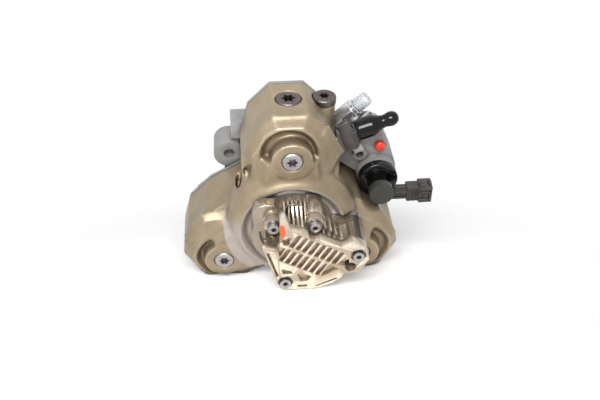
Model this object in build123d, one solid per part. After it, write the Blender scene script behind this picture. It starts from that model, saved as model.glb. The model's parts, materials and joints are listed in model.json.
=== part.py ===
from math import cos, hypot, pi, radians, sin, sqrt, tan
import os

from build123d import *

# Three-cylinder radial common-rail injection pump.
# Frame: the drive shaft lies on Y and leaves the pump towards +Y, the first head points to +Z.
# The origin is the centre of the three mounting holes, on the front mounting face.

# ---- driving dimensions, mm ----
heads = 3
head_pitch = 360 / heads

# stations along the shaft axis, counted from the mounting face
joint_y = -29.0            # face where the forged housing meets the front flange
head_rear_y = -80.5        # rear edge of each head's radial face
lobe_y = -91.0             # rear face of the raised lobe round each delivery plug
plug_y = -99.0             # rear face of the delivery plugs' bosses
hub_y = -102.0             # rim of the hub that takes the gear pump
seat_y = -95.0             # floor of the gear pump's seat in the hub
cover_y = -142.5           # ribbed face of the gear pump's cover
flange_rim_y = -25.5       # front edge of the flange's rim, which follows the housing
flange_plate_y = -15.0     # front of the flange plate

# forged housing
head_r = 108.5             # radial face of a head, from the shaft axis
head_flat_w = 30.0         # width of the flat radial face
head_front_w = 70.0        # width over the chamfers at the joint face
head_rear_w = 43.0         # width over the chamfers at the rear edge
head_side_w = 86.0         # width of a head below its shoulders
shoulder_front_r = 60.0    # where the shoulders end at the joint face
shoulder_rear_r = 68.0     # where they end at the rear edge
plug_ring_r = 73.0         # circle of the three delivery plugs
boss_r = 18.0              # boss round a delivery plug
groove_r = 23.5            # outside of the forged groove over that boss
groove_x = -2.5
groove_depth = 6.0
wing_y = -87.0             # rear face of the wing beside each lobe
pad_y = -97.5              # rear face of the pad round the boss
recess_r = 42.5            # round recess that takes the gear pump
recess_chamfer = 3.5
hub_r = 48.0
hub_foot_r = 59.0
hub_foot_y = -72.0
chamber_r = 38.0
chamber_rear_y = -76.0

# mechanism
eccentricity = 4.5
eccentric_r = 19.0
eccentric_rear_y = -72.0
eccentric_front_y = -38.5
ring_flat = 27.0           # from the ring's centre to each of its three flats
ring_r = 31.0
ring_width = 29.0
ring_bush_wall = 2.5
barrel_y = -54.0           # plane of the three plungers
run_gap = 0.04             # radial running clearance
rest_gap = 0.3             # clearance between loose faces
stroke = 2 * eccentricity

tappet_r = 15.5
tappet_height = 14.0
tappet_floor = 4.0
tappet_wall = 2.5
plunger_r = 3.75
plunger_top_r = 69.5
retainer_gap = 1.0         # round the spring retainer, inside the tappet
retainer_r = tappet_r - tappet_wall - retainer_gap
retainer_thick = 1.6
spring_seat_r = 62.0       # inner end of each barrel, where the spring bears
spring_wire_r = 1.3
spring_turns = 5

# shaft
rear_journal_r = 11.0
front_journal_r = 15.0
bush_wall = 2.5
taper_large_r = 12.5
taper_small_r = 10.0
taper_start_y = 4.0
taper_end_y = 29.0
stub_r = 7.0
stub_end_y = 46.0
key_width = 5.0
key_height = 6.5
key_length = 16.0

# front flange
pilot_r = 34.0
pilot_height = 6.0
mount_circle_r = 62.0
mount_hole_r = 5.25
ear_r = 14.5
ear_rear_y = -25.0

# gear pump
gear_teeth = 11
gear_module = 2.25
gear_angle = -20.0         # direction of the driven gear, from +X
gear_rear_y = -118.0
gear_front_y = -99.6
cover_front_y = -99.0
cover_wall = 5.0
rib_angle = -31.0          # direction of the rows of slots, from +X
rib_centre = (12.7, 4.7)   # middle of the two rows, (x, z)
slot_count = 8
slot_pitch = 6.1
slot_width = 4.1
slot_length = 15.0
short_slot = 9.5           # first slot of the upper row, beside the arm
slot_corner = 1.3
slot_depth = 4.0
rib_wall = 2.0
panel_thick = 9.0          # ribbed panel in front of the cover's body
screw_spots = [(-18.5, 27.6), (16.6, 29.2), (53.3, 3.0), (-9.9, -24.4)]   # cover screws, (x, z)
screw_seat_y = [-126.0, -128.5, cover_y + 3, cover_y + 3]
well_r = 9.0               # open wells round the two upper screws
screw_r = 3.0
screw_head_r = 5.9
port_spot = (47.1, -10.0)
port_r = 5.0
port_depth = 24.0

# metering valve
valve_x = 82.5
valve_z = 18.0
valve_seat_y = -53.0
valve_flange_r = 17.5
valve_flange_y = -60.0
valve_cap_y = -81.0
valve_bore_r = 9.0
connector_tip_x = 129.0
connector_y = -74.0
connector_z = 15.0

# drive shaft's inner end, key and seal
rear_journal_end_y = seat_y + rest_gap
tang_end_y = -102.0
tang_w = 7.0
tang_half = 6.3
key_start_y = 8.0
key_floor_z = 8.2
seal_r = 22.0
washer_thick = 1.5

# plugs and valves of a head
radial_plug_r = 11.0
radial_plug_head = 6.0
radial_plug_thread_r = 9.0
plug_bottom_r = 89.0
inlet_r = 6.5
inlet_seat_r = 76.0
axial_plug_r = 8.75
axial_plug_head = 4.0
axial_plug_thread_r = 7.0
axial_plug_length = 14.0
delivery_r = 2.2
delivery_valve_r = 4.5
delivery_seat_y = -70.0
ball_r = 3.0

# plug on the side boss of the top head
side_plug_x = 32.5
side_plug_y = -41.0
side_plug_top_z = 101.0
side_plug_r = 10.5
side_plug_head = 6.0
side_plug_thread_r = 7.0
side_plug_length = 17.0
side_boss_r = 10.0

# screws of the front flange, a pair at each head
flange_screw_r = 4.0
flange_screw_head_r = 6.5
flange_screw_t = 24.0      # sideways from the head's centre line
flange_screw_at = 78.0     # out from the shaft axis
flange_screw_depth = 18.0

# right-hand block of the flange, with the fuel fittings
block_rear_y = -42.0
block_waist_y = -28.0
block_front_y = -10.0
bar_rear_y = -58.5         # rear face of the bar that carries the supply fitting
union_at = (52.2, -25.0, 68.6)
union_dir = (0.72, 0.0, 0.69)
supply_at = (56.4, -52.5, 67.8)
supply_dir = (0.935, 0.0, 0.355)
red_plug_at = (85.0, 45.5)
red_plug_r = 4.8
screw_boss_at = (66.5, 38.0)
valve_bore_end_y = -30.0
union_sink = 11.0
union_thread_r = 6.0
supply_sink = 8.0
supply_thread_r = 5.0

# foot of a tappet at the top of its stroke
top_dead_r = ring_flat + eccentricity + rest_gap

# metering spool and overflow valve
overflow_at = (-42.5, 59.0)
overflow_r = 5.0
overflow_rear_y = -24.0
overflow_plug_y = -11.0
overflow_mouth_y = -6.0
spool_r = 4.0
spool_rear_y = -56.0
spool_front_y = -44.0
spool_spring_length = 5.0
spool_travel = 3.0
overflow_travel = 1.8

# gears and the plate in front of them
gear_pitch_r = gear_teeth * gear_module / 2
gear_outer_r = gear_pitch_r + gear_module * 0.95
gear_centre = 2 * gear_pitch_r + 0.1
driven_x = gear_centre * cos(radians(gear_angle))
driven_z = gear_centre * sin(radians(gear_angle))
gear_hub_r = 8.0
idler_r = 5.0
plate_front_y = seat_y
plate_rear_y = cover_front_y

# outlines of the cover's ribbed face and of the core behind it, (x, z)
cover_face = [(-28.5, 15.5), (-17, 13), (-14.2, 20), (-13.8, 49), (-9.7, 51), (-4.5, 36), (5.4, 31.6),
              (24.4, 22), (38.5, 14), (47.9, 20.3), (60, 11), (63, -2), (54.5, -17), (41.4, -17),
              (39, -23), (31, -28.7), (16.7, -34), (0.4, -34), (-10.4, -33), (-17.5, -26), (-20.5, -14)]
cover_core = [(-25, 6), (-13, 8), (-8, 20), (4, 20), (20, 14), (36, 7), (46, 9), (56, 3), (58, -3),
              (53, -15), (40, -16), (37, -22), (30, -27), (16, -32), (0, -32), (-10, -31), (-16, -25)]
fin_places = [-8.6, -5.0, -1.4, 2.2, 5.8, 9.4]    # upright fins between the arm and the second screw

# plunger, retainer and springs
plunger_foot_r = 6.0
plunger_foot_height = 2.0
coil_inset = 1.8           # from the retainer's rim to the middle of the wire
delivery_coil_r = 2.6
delivery_wire_r = 0.6
delivery_coil_gap = 1.2    # at each end of a delivery spring
spool_coil_r = 2.6
spool_wire_r = 0.45
overflow_coil_r = 3.2
overflow_wire_r = 0.55

# inlet valve
inlet_bore_r = 2.0
inlet_pocket_r = 4.5
inlet_floor = 5.0          # from the valve's foot to its seat
poppet_stem_r = 1.6
poppet_head_r = 4.0
poppet_top = 7.0           # from the valve's foot to the poppet's crown

# six-lobed sockets
radial_socket_r = 5.6
axial_socket_r = 4.5
side_socket_r = 4.5
flange_socket_r = 3.4
cover_socket_r = 2.6
valve_socket_r = 1.6
overflow_socket_r = 2.6
overflow_socket_depth = 3.0

# screws
flange_screw_head = 6.0
cover_screw_head = 5.2
cover_screw_grip = 14.0    # depth of a cover screw in the housing
cover_thread_depth = 16.0
valve_screw_r = 2.0
valve_screw_head_r = 3.2
valve_screw_head = 3.0
valve_screw_grip = 9.0
valve_screw_circle = 14.0
valve_screw_angles = (25, 145, 265)

# delivery union and its cap
union_hex = 17.0
union_hex_height = 7.0
union_foot_hex = 14.0
union_foot = 3.0
union_shank_r = 7.0
union_shank_length = 12.0
union_bore_r = 2.0
union_cone_r = 5.0
union_room_r = 12.0        # room for a spanner round the union
clear_cap_r = 8.0
clear_cap_wall = 0.7
clear_cap_length = 15.0
clear_cap_start = 8.5

# supply spigot
supply_hex = 15.0
supply_hex_height = 5.0
barb_r = 4.0
barb_crest_r = 5.0
barb_length = 18.0
barb_bore_r = 2.8
supply_room_r = 11.0       # room round the spigot's cap
supply_cap_bore_r = 5.1

# overflow piston
overflow_piston_length = 7.0
overflow_piston_bore_r = 2.6

# solenoid and plug-in arm
can_r = 10.0
can_cap_r = 11.2
neck_half = (4.5, 5.0)     # half sizes of the arm's neck, its block and its shroud, (y, z)
block_half = (5.8, 7.0)
shroud_half = (7.0, 8.5)
shroud_wall = 1.4
neck_end = 22.0            # ends of the neck and of the block, back from the tip
shroud_start = 12.0
pin_pitch = 6.0

# ---- frame helpers ----


def cyl(r, y0, y1, x=0.0, z=0.0):
    """Cylinder along Y."""
    return Pos(x, (y0 + y1) / 2, z) * Rot(X=90) * Cylinder(r, abs(y1 - y0))


def cone(r0, r1, y0, y1, x=0.0, z=0.0):
    """Cone along Y, radius r0 at y0 and r1 at y1."""
    return Pos(x, (y0 + y1) / 2, z) * Rot(X=-90) * Cone(r0, r1, abs(y1 - y0))


def rod(r, z0, z1, x=0.0, y=0.0):
    """Cylinder along Z."""
    return Pos(x, y, (z0 + z1) / 2) * Cylinder(r, abs(z1 - z0))


def slab(x0, x1, y0, y1, z0, z1):
    return Pos((x0 + x1) / 2, (y0 + y1) / 2, (z0 + z1) / 2) * Box(abs(x1 - x0), abs(y1 - y0), abs(z1 - z0))


def section(points, y):
    """Face in the plane at y, from (x, z) points."""
    outline = Polyline(*[(px, y, pz) for px, pz in points], close=True)
    return make_face(outline)


def prism(points, y0, y1):
    """Straight block along Y, from (x, z) points."""
    low, high = min(y0, y1), max(y0, y1)
    return extrude(section(points, low), high - low, dir=(0, 1, 0))


def turned(points):
    """Solid of revolution about Y, from (r, y) points."""
    outline = Polyline(*[(r, y, 0) for r, y in points], close=True)
    return revolve(make_face(outline), Axis.Y, 360)


def turned_z(points):
    """Solid of revolution about Z, from (r, z) points."""
    outline = Polyline(*[(r, 0, z) for r, z in points], close=True)
    return revolve(make_face(outline), Axis.Z, 360)


def to_head(shape, index):
    """Carries a shape made for the top head round to head 0, 1 or 2."""
    return Rot(Y=head_pitch * index) * shape


def round_heads(shape):
    return [to_head(shape, i) for i in range(heads)]


def along(start, end):
    """Location at start whose local Z points to end."""
    direction = Vector(*end) - Vector(*start)
    return Plane(origin=start, z_dir=direction).location


def torx_socket(r, depth):
    """Six-lobed socket cut down from z = 0."""
    core = Pos(0, 0, -depth / 2) * Cylinder(r * 0.74, depth)
    lobe = Pos(r * 0.78, 0, -depth / 2) * Cylinder(r * 0.22, depth)
    return core + [Rot(Z=60 * i) * lobe for i in range(6)]


def hexagon(across_flats, height):
    return extrude(RegularPolygon(across_flats / 2, 6, major_radius=False), height)


def coil(r, wire_r, length, turns):
    """Open coil spring along Z from z = 0, wire centre to wire centre."""
    path = Helix(length / turns, length, r)
    start = path @ 0
    tangent = path % 0
    profile = Plane(origin=start, z_dir=tangent) * Circle(wire_r)
    return sweep(profile, path, is_frenet=True)


# ---- forged housing ----


def head_outline(width, shoulder_r, grow=0.0):
    """Three heads round the shaft: flat top, 45 degree chamfers, shoulders and a valley between."""
    flat = head_flat_w / 2
    edge = width / 2
    side = head_side_w / 2
    valley = side * tan(radians(90 - head_pitch / 2))
    half = [(flat, head_r), (edge, head_r - (edge - flat)), (side, shoulder_r)]
    corner = [(-t, r) for t, r in reversed(half)] + half + [(side, valley)]
    points = []
    for i in range(heads):
        turn = radians(head_pitch * i)
        for t, r in corner:
            scale = 1 + grow / hypot(t, r)
            points.append((scale * (t * cos(turn) + r * sin(turn)), scale * (r * cos(turn) - t * sin(turn))))
    return points


def lobe():
    """Raised bell on the rear of the top head, with its wing and the pad round the plug's boss."""
    top = [(-31, 30), (-33, 76), (-23, 94), (-11, 101), (10, 101), (18, 94), (26, 80), (30, 62), (30, 30)]
    foot = [(-38, 30), (-40, 76), (-27, 99), (-16, 107.5), (15, 107.5), (27, 100), (40, 84), (46, 66), (34, 30)]
    bell = loft([section(top, lobe_y), section(foot, head_rear_y + 1)], ruled=True)
    wing_top = [(14, 88), (28, 92), (41, 68), (31, 44), (14, 44)]
    wing_foot = [(12, 90), (33, 97), (47, 68), (35, 38), (12, 38)]
    bell += loft([section(wing_top, wing_y), section(wing_foot, head_rear_y + 1)], ruled=True)
    pad_top = [(-24, 44), (23, 44), (20.5, 70), (-21, 71)]
    pad_foot = [(-32, 40), (31, 40), (27, 71), (-28, 73)]
    bell += loft([section(pad_top, pad_y), section(pad_foot, lobe_y + 3)], ruled=True)
    return bell


def lobe_groove():
    """Groove over the top half of the delivery plug's boss."""
    floor_y = lobe_y + groove_depth
    groove = cone(groove_r + 2, groove_r - 3, lobe_y - 1, floor_y, x=groove_x, z=plug_ring_r + 3)
    groove -= slab(-60, 60, lobe_y - 30, 0, 0, plug_ring_r - 1)
    groove -= cyl(boss_r, lobe_y - 30, floor_y + 1, z=plug_ring_r)
    return groove


def head_bores():
    """Bores of the top head: tappet, barrel, inlet valve, delivery valve and both plugs."""
    tools = rod(tappet_r + run_gap, 20, spring_seat_r, y=barrel_y)
    tools += rod(plunger_r + run_gap, spring_seat_r - 1, inlet_seat_r + 1, y=barrel_y)
    tools += rod(inlet_r, inlet_seat_r, plug_bottom_r + 1, y=barrel_y)
    tools += rod(radial_plug_thread_r, plug_bottom_r, head_r + 1, y=barrel_y)
    tools += rod(radial_plug_r + rest_gap, head_r - radial_plug_head, head_r + 1, y=barrel_y)
    tools += cyl(delivery_r, barrel_y, delivery_seat_y - 1, z=plug_ring_r)
    tools += cyl(delivery_valve_r, delivery_seat_y, plug_y + axial_plug_length - 1, z=plug_ring_r)
    tools += cyl(axial_plug_thread_r, plug_y - 1, plug_y + axial_plug_length, z=plug_ring_r)
    tools += cyl(axial_plug_r + rest_gap, plug_y - 1, plug_y + axial_plug_head, z=plug_ring_r)
    return tools


def flange_screw_places():
    """Stations of the flange screws, as (x, z)."""
    places = []
    for i in range(heads):
        turn = radians(head_pitch * i)
        for t in (-flange_screw_t, flange_screw_t):
            r = flange_screw_at
            places.append((t * cos(turn) + r * sin(turn), r * cos(turn) - t * sin(turn)))
    return places


def make_housing():
    rear = section(head_outline(head_rear_w, shoulder_rear_r), head_rear_y)
    front = section(head_outline(head_front_w, shoulder_front_r), joint_y)
    body = loft([rear, front], ruled=True)
    body += turned([(0, hub_y), (hub_r, hub_y), (hub_r + 5, hub_y + 4), (hub_foot_r, lobe_y + 3),
                    (hub_foot_r, hub_foot_y), (0, hub_foot_y)])
    body += round_heads(lobe())
    body -= round_heads(lobe_groove())
    body += round_heads(cyl(boss_r, plug_y, head_rear_y, z=plug_ring_r))
    body += rod(side_boss_r, 58, side_plug_top_z - side_plug_head, x=side_plug_x, y=side_plug_y)
    body -= cyl(valve_flange_r + 1.5, hub_y - 20, joint_y + 1, x=valve_x, z=valve_z)
    body -= cyl(chamber_r, chamber_rear_y, joint_y + 1)
    body -= cyl(rear_journal_r + bush_wall, hub_y - 1, joint_y)
    body -= round_heads(head_bores())
    body -= lift(pump_outline(1.5), hub_y - 12, seat_y)
    body -= cyl(recess_r, hub_y - 1, seat_y)
    body -= cone(recess_r + recess_chamfer + 1, recess_r, hub_y - 1, hub_y + recess_chamfer)
    body -= [cyl(screw_r, seat_y - 1, seat_y + cover_thread_depth, x=px, z=pz) for px, pz in screw_spots]
    body -= [cyl(flange_screw_r, joint_y - flange_screw_depth, joint_y + 1, x=px, z=pz)
             for px, pz in flange_screw_places()]
    plug_seat_z = side_plug_top_z - side_plug_head
    body -= rod(side_plug_thread_r, side_plug_top_z - side_plug_length - 1, side_plug_top_z,
                x=side_plug_x, y=side_plug_y)
    body -= rod(side_plug_r + rest_gap, plug_seat_z, head_r + 5, x=side_plug_x, y=side_plug_y)
    body -= along(union_at, add(union_at, union_dir)) * Pos(0, 0, 25) * Cylinder(union_room_r, 62)
    return body


# ---- front flange ----


def ear_places():
    """Mounting holes, in the valleys between the heads, as (x, z)."""
    first = 90 - head_pitch / 2
    angles = [radians(first + head_pitch * i) for i in range(heads)]
    return [(mount_circle_r * cos(a), mount_circle_r * sin(a)) for a in angles]


def fuel_block():
    """Block on the right of the flange that carries the metering valve and the fittings."""
    side = head_side_w / 2 + 1.5
    outline = [(side, 32), (side, 60), (43, 72), (50, 80), (66, 79), (83, 70), (96, 40), (101.5, 22),
               (99, 6), (89, 2.5), (66, 15)]
    waist = section(outline, block_waist_y)
    nose = section([(x * 0.93 + 2, z * 0.66 + 8) for x, z in outline], block_front_y)
    block = prism(outline, block_rear_y, block_waist_y)
    block += loft([waist, nose], ruled=True)
    block += cyl(valve_flange_r + 1, valve_seat_y, block_waist_y, x=valve_x, z=valve_z)
    block += cyl(6.5, block_rear_y - 4, block_waist_y, x=screw_boss_at[0], z=screw_boss_at[1])
    bar = [(45.5, 74), (52, 79.5), (68, 53), (60, 49)]
    block += prism(bar, bar_rear_y, block_rear_y + 1)
    return block


def make_flange():
    rim = head_outline(head_front_w, shoulder_front_r, -0.5)
    crown = head_outline(head_front_w, shoulder_front_r, -13)
    plate = prism(rim, joint_y, flange_rim_y)
    plate += loft([section(rim, flange_rim_y), section(crown, flange_plate_y)], ruled=True)
    plate += cone(60, 46, flange_plate_y - 1, -3)
    plate += [cyl(flange_screw_head_r + 2, joint_y, flange_plate_y, x=x, z=z)
              for x, z in flange_screw_places()]
    plate += cyl(46, -4, 0)
    plate += cyl(pilot_r, -1, pilot_height)
    for x, z in ear_places():
        plate += cyl(ear_r, ear_rear_y, 0, x=x, z=z)
        web = slab(20, mount_circle_r, flange_plate_y - 6, -4, -11, 11)
        plate += Rot(Y=-angle_of(x, z)) * web
    plate += slab(-51, -34, -27, -6, 50, 68)
    plate += fuel_block()
    plate += cyl(chamber_r - run_gap, joint_y - 4, joint_y + 1)
    # bores
    plate -= cyl(front_journal_r + bush_wall, joint_y - 5, -10)
    plate -= cyl(seal_r, -11, pilot_height + 1)
    plate -= [cyl(mount_hole_r, ear_rear_y - 1, 1, x=x, z=z) for x, z in ear_places()]
    plate -= [cyl(flange_screw_r + 0.25, joint_y - 1, 0, x=x, z=z) for x, z in flange_screw_places()]
    plate -= cyl(valve_bore_r, valve_seat_y - 1, valve_bore_end_y, x=valve_x, z=valve_z)
    plate -= cyl(3.5, block_rear_y - 6, block_rear_y + 14, x=screw_boss_at[0], z=screw_boss_at[1])
    plate -= cyl(red_plug_r - 1.0, block_rear_y - 1, block_rear_y + 8, x=red_plug_at[0], z=red_plug_at[1])
    union_place = along(union_at, add(union_at, union_dir))
    plate -= union_place * Pos(0, 0, -union_sink / 2) * Cylinder(union_thread_r, union_sink)
    plate -= union_place * Pos(0, 0, 27) * Cylinder(union_room_r, 60)
    supply_place = along(supply_at, add(supply_at, supply_dir))
    plate -= supply_place * Pos(0, 0, -supply_sink / 2) * Cylinder(supply_thread_r, supply_sink)
    plate -= supply_place * Pos(0, 0, 30) * Cylinder(supply_room_r, 60)
    plate -= [cyl(valve_screw_r, valve_seat_y - 1, valve_seat_y + valve_screw_grip + 1, x=x, z=z)
              for x, z in valve_screw_places()]
    # overflow valve in the left shoulder
    plate -= cyl(overflow_r, overflow_rear_y - overflow_travel - rest_gap, overflow_mouth_y + 1,
                 x=overflow_at[0], z=overflow_at[1])
    return plate


def add(a, b, k=1.0):
    return tuple(p + k * q for p, q in zip(a, b))


# ---- shaft and cam ring ----


def make_shaft():
    """Eccentric shaft: rear tang, rear journal, eccentric, front journal, taper and threaded stub."""
    body = cyl(rear_journal_r - run_gap, rear_journal_end_y, eccentric_rear_y)
    body += cyl(eccentric_r - run_gap, eccentric_rear_y, eccentric_front_y, z=-eccentricity)
    body += cyl(front_journal_r - run_gap, eccentric_front_y, taper_start_y)
    body += cone(taper_large_r, taper_small_r, taper_start_y, taper_end_y)
    body += cyl(stub_r - 1.0, taper_end_y, taper_end_y + 2)
    body += threaded(stub_r, taper_end_y + 2, stub_end_y)
    body += slab(-tang_w / 2, tang_w / 2, tang_end_y, rear_journal_end_y, -tang_half, tang_half)
    slot = slab(-key_width / 2, key_width / 2, key_start_y, key_start_y + key_length, key_floor_z, 20)
    return body - slot


def threaded(r, y0, y1, pitch=1.5):
    """Stub with a run of thread grooves, as rings."""
    count = int((y1 - y0 - 2) / pitch)
    points = [(0, y0), (r - 0.9, y0)]
    for i in range(count):
        y = y0 + 1 + i * pitch
        points += [(r - 0.9, y), (r, y + pitch * 0.4), (r, y + pitch * 0.6)]
    end = y0 + 1 + count * pitch
    points += [(r - 0.9, end), (r - 0.9, y1), (0, y1)]
    return turned(points)


def make_key():
    return slab(-key_width / 2, key_width / 2, key_start_y, key_start_y + key_length, key_floor_z,
                key_floor_z + key_height)


def bush(inner_r, outer_r, y0, y1, z=0.0):
    return cyl(outer_r, y0, y1, z=z) - cyl(inner_r, y0 - 1, y1 + 1, z=z)


def make_polygon_ring():
    """Ring with a flat for each tappet, which orbits without turning."""
    y0 = barrel_y - ring_width / 2
    y1 = barrel_y + ring_width / 2
    ring = cyl(ring_r, y0, y1)
    for i in range(heads):
        ring -= to_head(slab(-40, 40, y0 - 1, y1 + 1, ring_flat, 60), i)
    ring -= cyl(eccentric_r + ring_bush_wall, y0 - 1, y1 + 1)
    return Pos(0, 0, -eccentricity) * ring


# ---- tappets, plungers and valves, made for the top head ----

def make_tappet():
    cup = rod(tappet_r, top_dead_r, top_dead_r + tappet_height, y=barrel_y)
    cup -= rod(tappet_r - tappet_wall, top_dead_r + tappet_floor, top_dead_r + tappet_height + 1, y=barrel_y)
    return cup


def make_plunger():
    foot_r = top_dead_r + tappet_floor
    foot = rod(plunger_foot_r, foot_r, foot_r + plunger_foot_height, y=barrel_y)
    return rod(plunger_r, foot_r, plunger_top_r, y=barrel_y) + foot


def make_retainer():
    """Dished washer between the plunger's foot and the spring."""
    foot_r = top_dead_r + tappet_floor + plunger_foot_height
    washer = rod(retainer_r, foot_r, foot_r + retainer_thick, y=barrel_y)
    return washer - rod(plunger_r + rest_gap, foot_r - 1, foot_r + retainer_thick + 1, y=barrel_y)


def make_plunger_spring():
    start_r = top_dead_r + tappet_floor + plunger_foot_height + retainer_thick + spring_wire_r
    end_r = spring_seat_r - spring_wire_r
    spring = coil(retainer_r - coil_inset, spring_wire_r, end_r - start_r, spring_turns)
    return Pos(0, barrel_y, start_r) * spring


def screw_plug(head_radius, head_height, thread_radius, length, socket_r):
    """Plug along Z with its head's face at z = 0 and its thread below."""
    plug = turned_z([(0, 0), (head_radius - 0.8, 0), (head_radius, -0.8), (head_radius, -head_height),
                     (thread_radius, -head_height), (thread_radius, 1 - length),
                     (thread_radius - 1, -length), (0, -length)])
    return plug - torx_socket(socket_r, head_height)


def make_radial_plugs():
    plug = screw_plug(radial_plug_r, radial_plug_head, radial_plug_thread_r, head_r - plug_bottom_r,
                      radial_socket_r)
    return round_heads(Pos(0, barrel_y, head_r) * plug)


def make_axial_plugs():
    plug = screw_plug(axial_plug_r, axial_plug_head, axial_plug_thread_r, axial_plug_length, axial_socket_r)
    return round_heads(Pos(0, plug_y, plug_ring_r) * Rot(X=90) * plug)


def make_side_plug():
    plug = screw_plug(side_plug_r, side_plug_head, side_plug_thread_r, side_plug_length, side_socket_r)
    return Pos(side_plug_x, side_plug_y, side_plug_top_z) * plug


def make_inlet_valves():
    """Valve body over each barrel, with its seat bore."""
    body = rod(inlet_r, inlet_seat_r, plug_bottom_r, y=barrel_y)
    body -= rod(inlet_bore_r, inlet_seat_r - 1, plug_bottom_r + 1, y=barrel_y)
    body -= rod(inlet_pocket_r, inlet_seat_r + inlet_floor, plug_bottom_r + 1, y=barrel_y)
    return round_heads(body)


def make_inlet_poppet():
    """Poppet of an inlet valve."""
    crown_r = inlet_seat_r + poppet_top
    poppet = rod(poppet_stem_r, inlet_seat_r + 1, crown_r, y=barrel_y)
    poppet += rod(poppet_head_r, inlet_seat_r + inlet_floor + rest_gap, crown_r, y=barrel_y)
    return poppet


def make_delivery_ball():
    reach = sqrt(ball_r ** 2 - delivery_r ** 2)
    return Pos(0, delivery_seat_y - reach - 0.02, plug_ring_r) * Sphere(ball_r)


def make_delivery_springs():
    start = delivery_seat_y - 2 * ball_r
    end = plug_y + axial_plug_length
    spring = coil(delivery_coil_r, delivery_wire_r, start - end - 2 * delivery_coil_gap, 4)
    return round_heads(Pos(0, start - delivery_coil_gap, plug_ring_r) * Rot(X=90) * spring)


# ---- fasteners ----


def flange_head_screw(thread_r, head_radius, head_height, length, socket_r):
    """Screw with a collar, head up at z = 0..head_height and thread below."""
    screw = Pos(0, 0, -length / 2) * Cylinder(thread_r, length)
    screw += Pos(0, 0, 0.6) * Cylinder(head_radius, 1.2)
    screw += Pos(0, 0, 0.6 + head_height / 2) * Cylinder(head_radius * 0.82, head_height - 1.2)
    return screw - Pos(0, 0, head_height) * torx_socket(socket_r, head_height * 0.55)


def make_flange_screws():
    screw = flange_head_screw(flange_screw_r, flange_screw_head_r, flange_screw_head,
                              flange_plate_y - joint_y + flange_screw_depth - 1, flange_socket_r)
    return [Pos(x, flange_plate_y, z) * Rot(X=-90) * screw for x, z in flange_screw_places()]


def make_cover_screws():
    screws = []
    for (x, z), seat in zip(screw_spots, screw_seat_y):
        length = seat_y - seat + cover_screw_grip
        screw = flange_head_screw(screw_r, screw_head_r, cover_screw_head, length, cover_socket_r)
        screws.append(Pos(x, seat, z) * Rot(X=90) * screw)
    return screws


# ---- gear pump ----


def angle_of(x, z):
    return Vector(1, 0, 0).get_signed_angle(Vector(x, z, 0), Vector(0, 0, 1))


def lift(shape, y0, y1):
    """Extrudes an (x, z) sketch from y0 to y1."""
    low, high = min(y0, y1), max(y0, y1)
    upright = Plane(origin=(0, high, 0), x_dir=(1, 0, 0), z_dir=(0, -1, 0))
    return extrude(upright * shape, high - low)


def pump_outline(grow=0.0):
    """Outline of the gear pump where it sits on the hub."""
    shape = Circle(37 + grow)
    spots = screw_spots + [port_spot]
    for x, z in spots:
        shape += Pos(x, z) * Circle(9 + grow)
        shape += Pos(x / 2, z / 2) * Rot(Z=angle_of(x, z)) * Rectangle(hypot(x, z), 18 + 2 * grow)
    shape += Pos(driven_x, driven_z) * Circle(gear_outer_r + cover_wall + grow)
    return shape


def gear(teeth, module, y0, y1, turn=0.0):
    """Spur gear along Y with straight-sided teeth rounded to an involute's width."""
    pitch_r = teeth * module / 2
    outer_r = pitch_r + module * 0.95
    root_r = pitch_r - module * 1.2
    points = []
    step = 2 * pi / teeth
    for i in range(teeth):
        mid = i * step + radians(turn)
        for r, share in ((root_r, 0.35), (pitch_r, 0.228), (outer_r, 0.09)):
            points.append((r * cos(mid - share * step), r * sin(mid - share * step)))
        for r, share in ((outer_r, 0.09), (pitch_r, 0.228), (root_r, 0.35)):
            points.append((r * cos(mid + share * step), r * sin(mid + share * step)))
    return prism(points, y0, y1)


def make_drive_gear():
    body = gear(gear_teeth, gear_module, gear_rear_y, gear_front_y, gear_angle)
    body += cyl(gear_hub_r - run_gap, gear_front_y, plate_front_y - 0.3)
    half_w = tang_w / 2 + run_gap
    reach = tang_half + rest_gap
    slot = slab(-half_w, half_w, tang_end_y - rest_gap, plate_front_y, -reach, reach)
    return body - slot


def make_driven_gear():
    half_tooth = 180 / gear_teeth
    body = gear(gear_teeth, gear_module, gear_rear_y, gear_front_y, gear_angle + 180 + half_tooth)
    body -= cyl(idler_r + run_gap, gear_rear_y - 1, gear_front_y + 1)
    return Pos(driven_x, 0, driven_z) * body


def make_pump_plate():
    plate = lift(pump_outline(), plate_rear_y, plate_front_y)
    plate -= cyl(gear_hub_r, plate_rear_y - 1, plate_front_y + 1)
    plate -= cyl(idler_r - 0.02, plate_rear_y - 1, plate_front_y + 1, x=driven_x, z=driven_z)
    plate -= [cyl(screw_r + 0.2, plate_rear_y - 1, plate_front_y + 1, x=x, z=z) for x, z in screw_spots]
    return plate


def rib_point(u, v):
    """(x, z) of a point given along the rows of slots, u, and across them, v."""
    a = radians(rib_angle)
    return (rib_centre[0] + u * cos(a) - v * sin(a), rib_centre[1] + u * sin(a) + v * cos(a))


def rib_block(u0, u1, v0, v1, y0, y1):
    """Block with its sides along and across the rows of slots."""
    x, z = rib_point((u0 + u1) / 2, (v0 + v1) / 2)
    bar = Pos(x, z) * Rot(Z=rib_angle) * Rectangle(abs(u1 - u0), abs(v1 - v0))
    return lift(bar, y0, y1)


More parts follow.
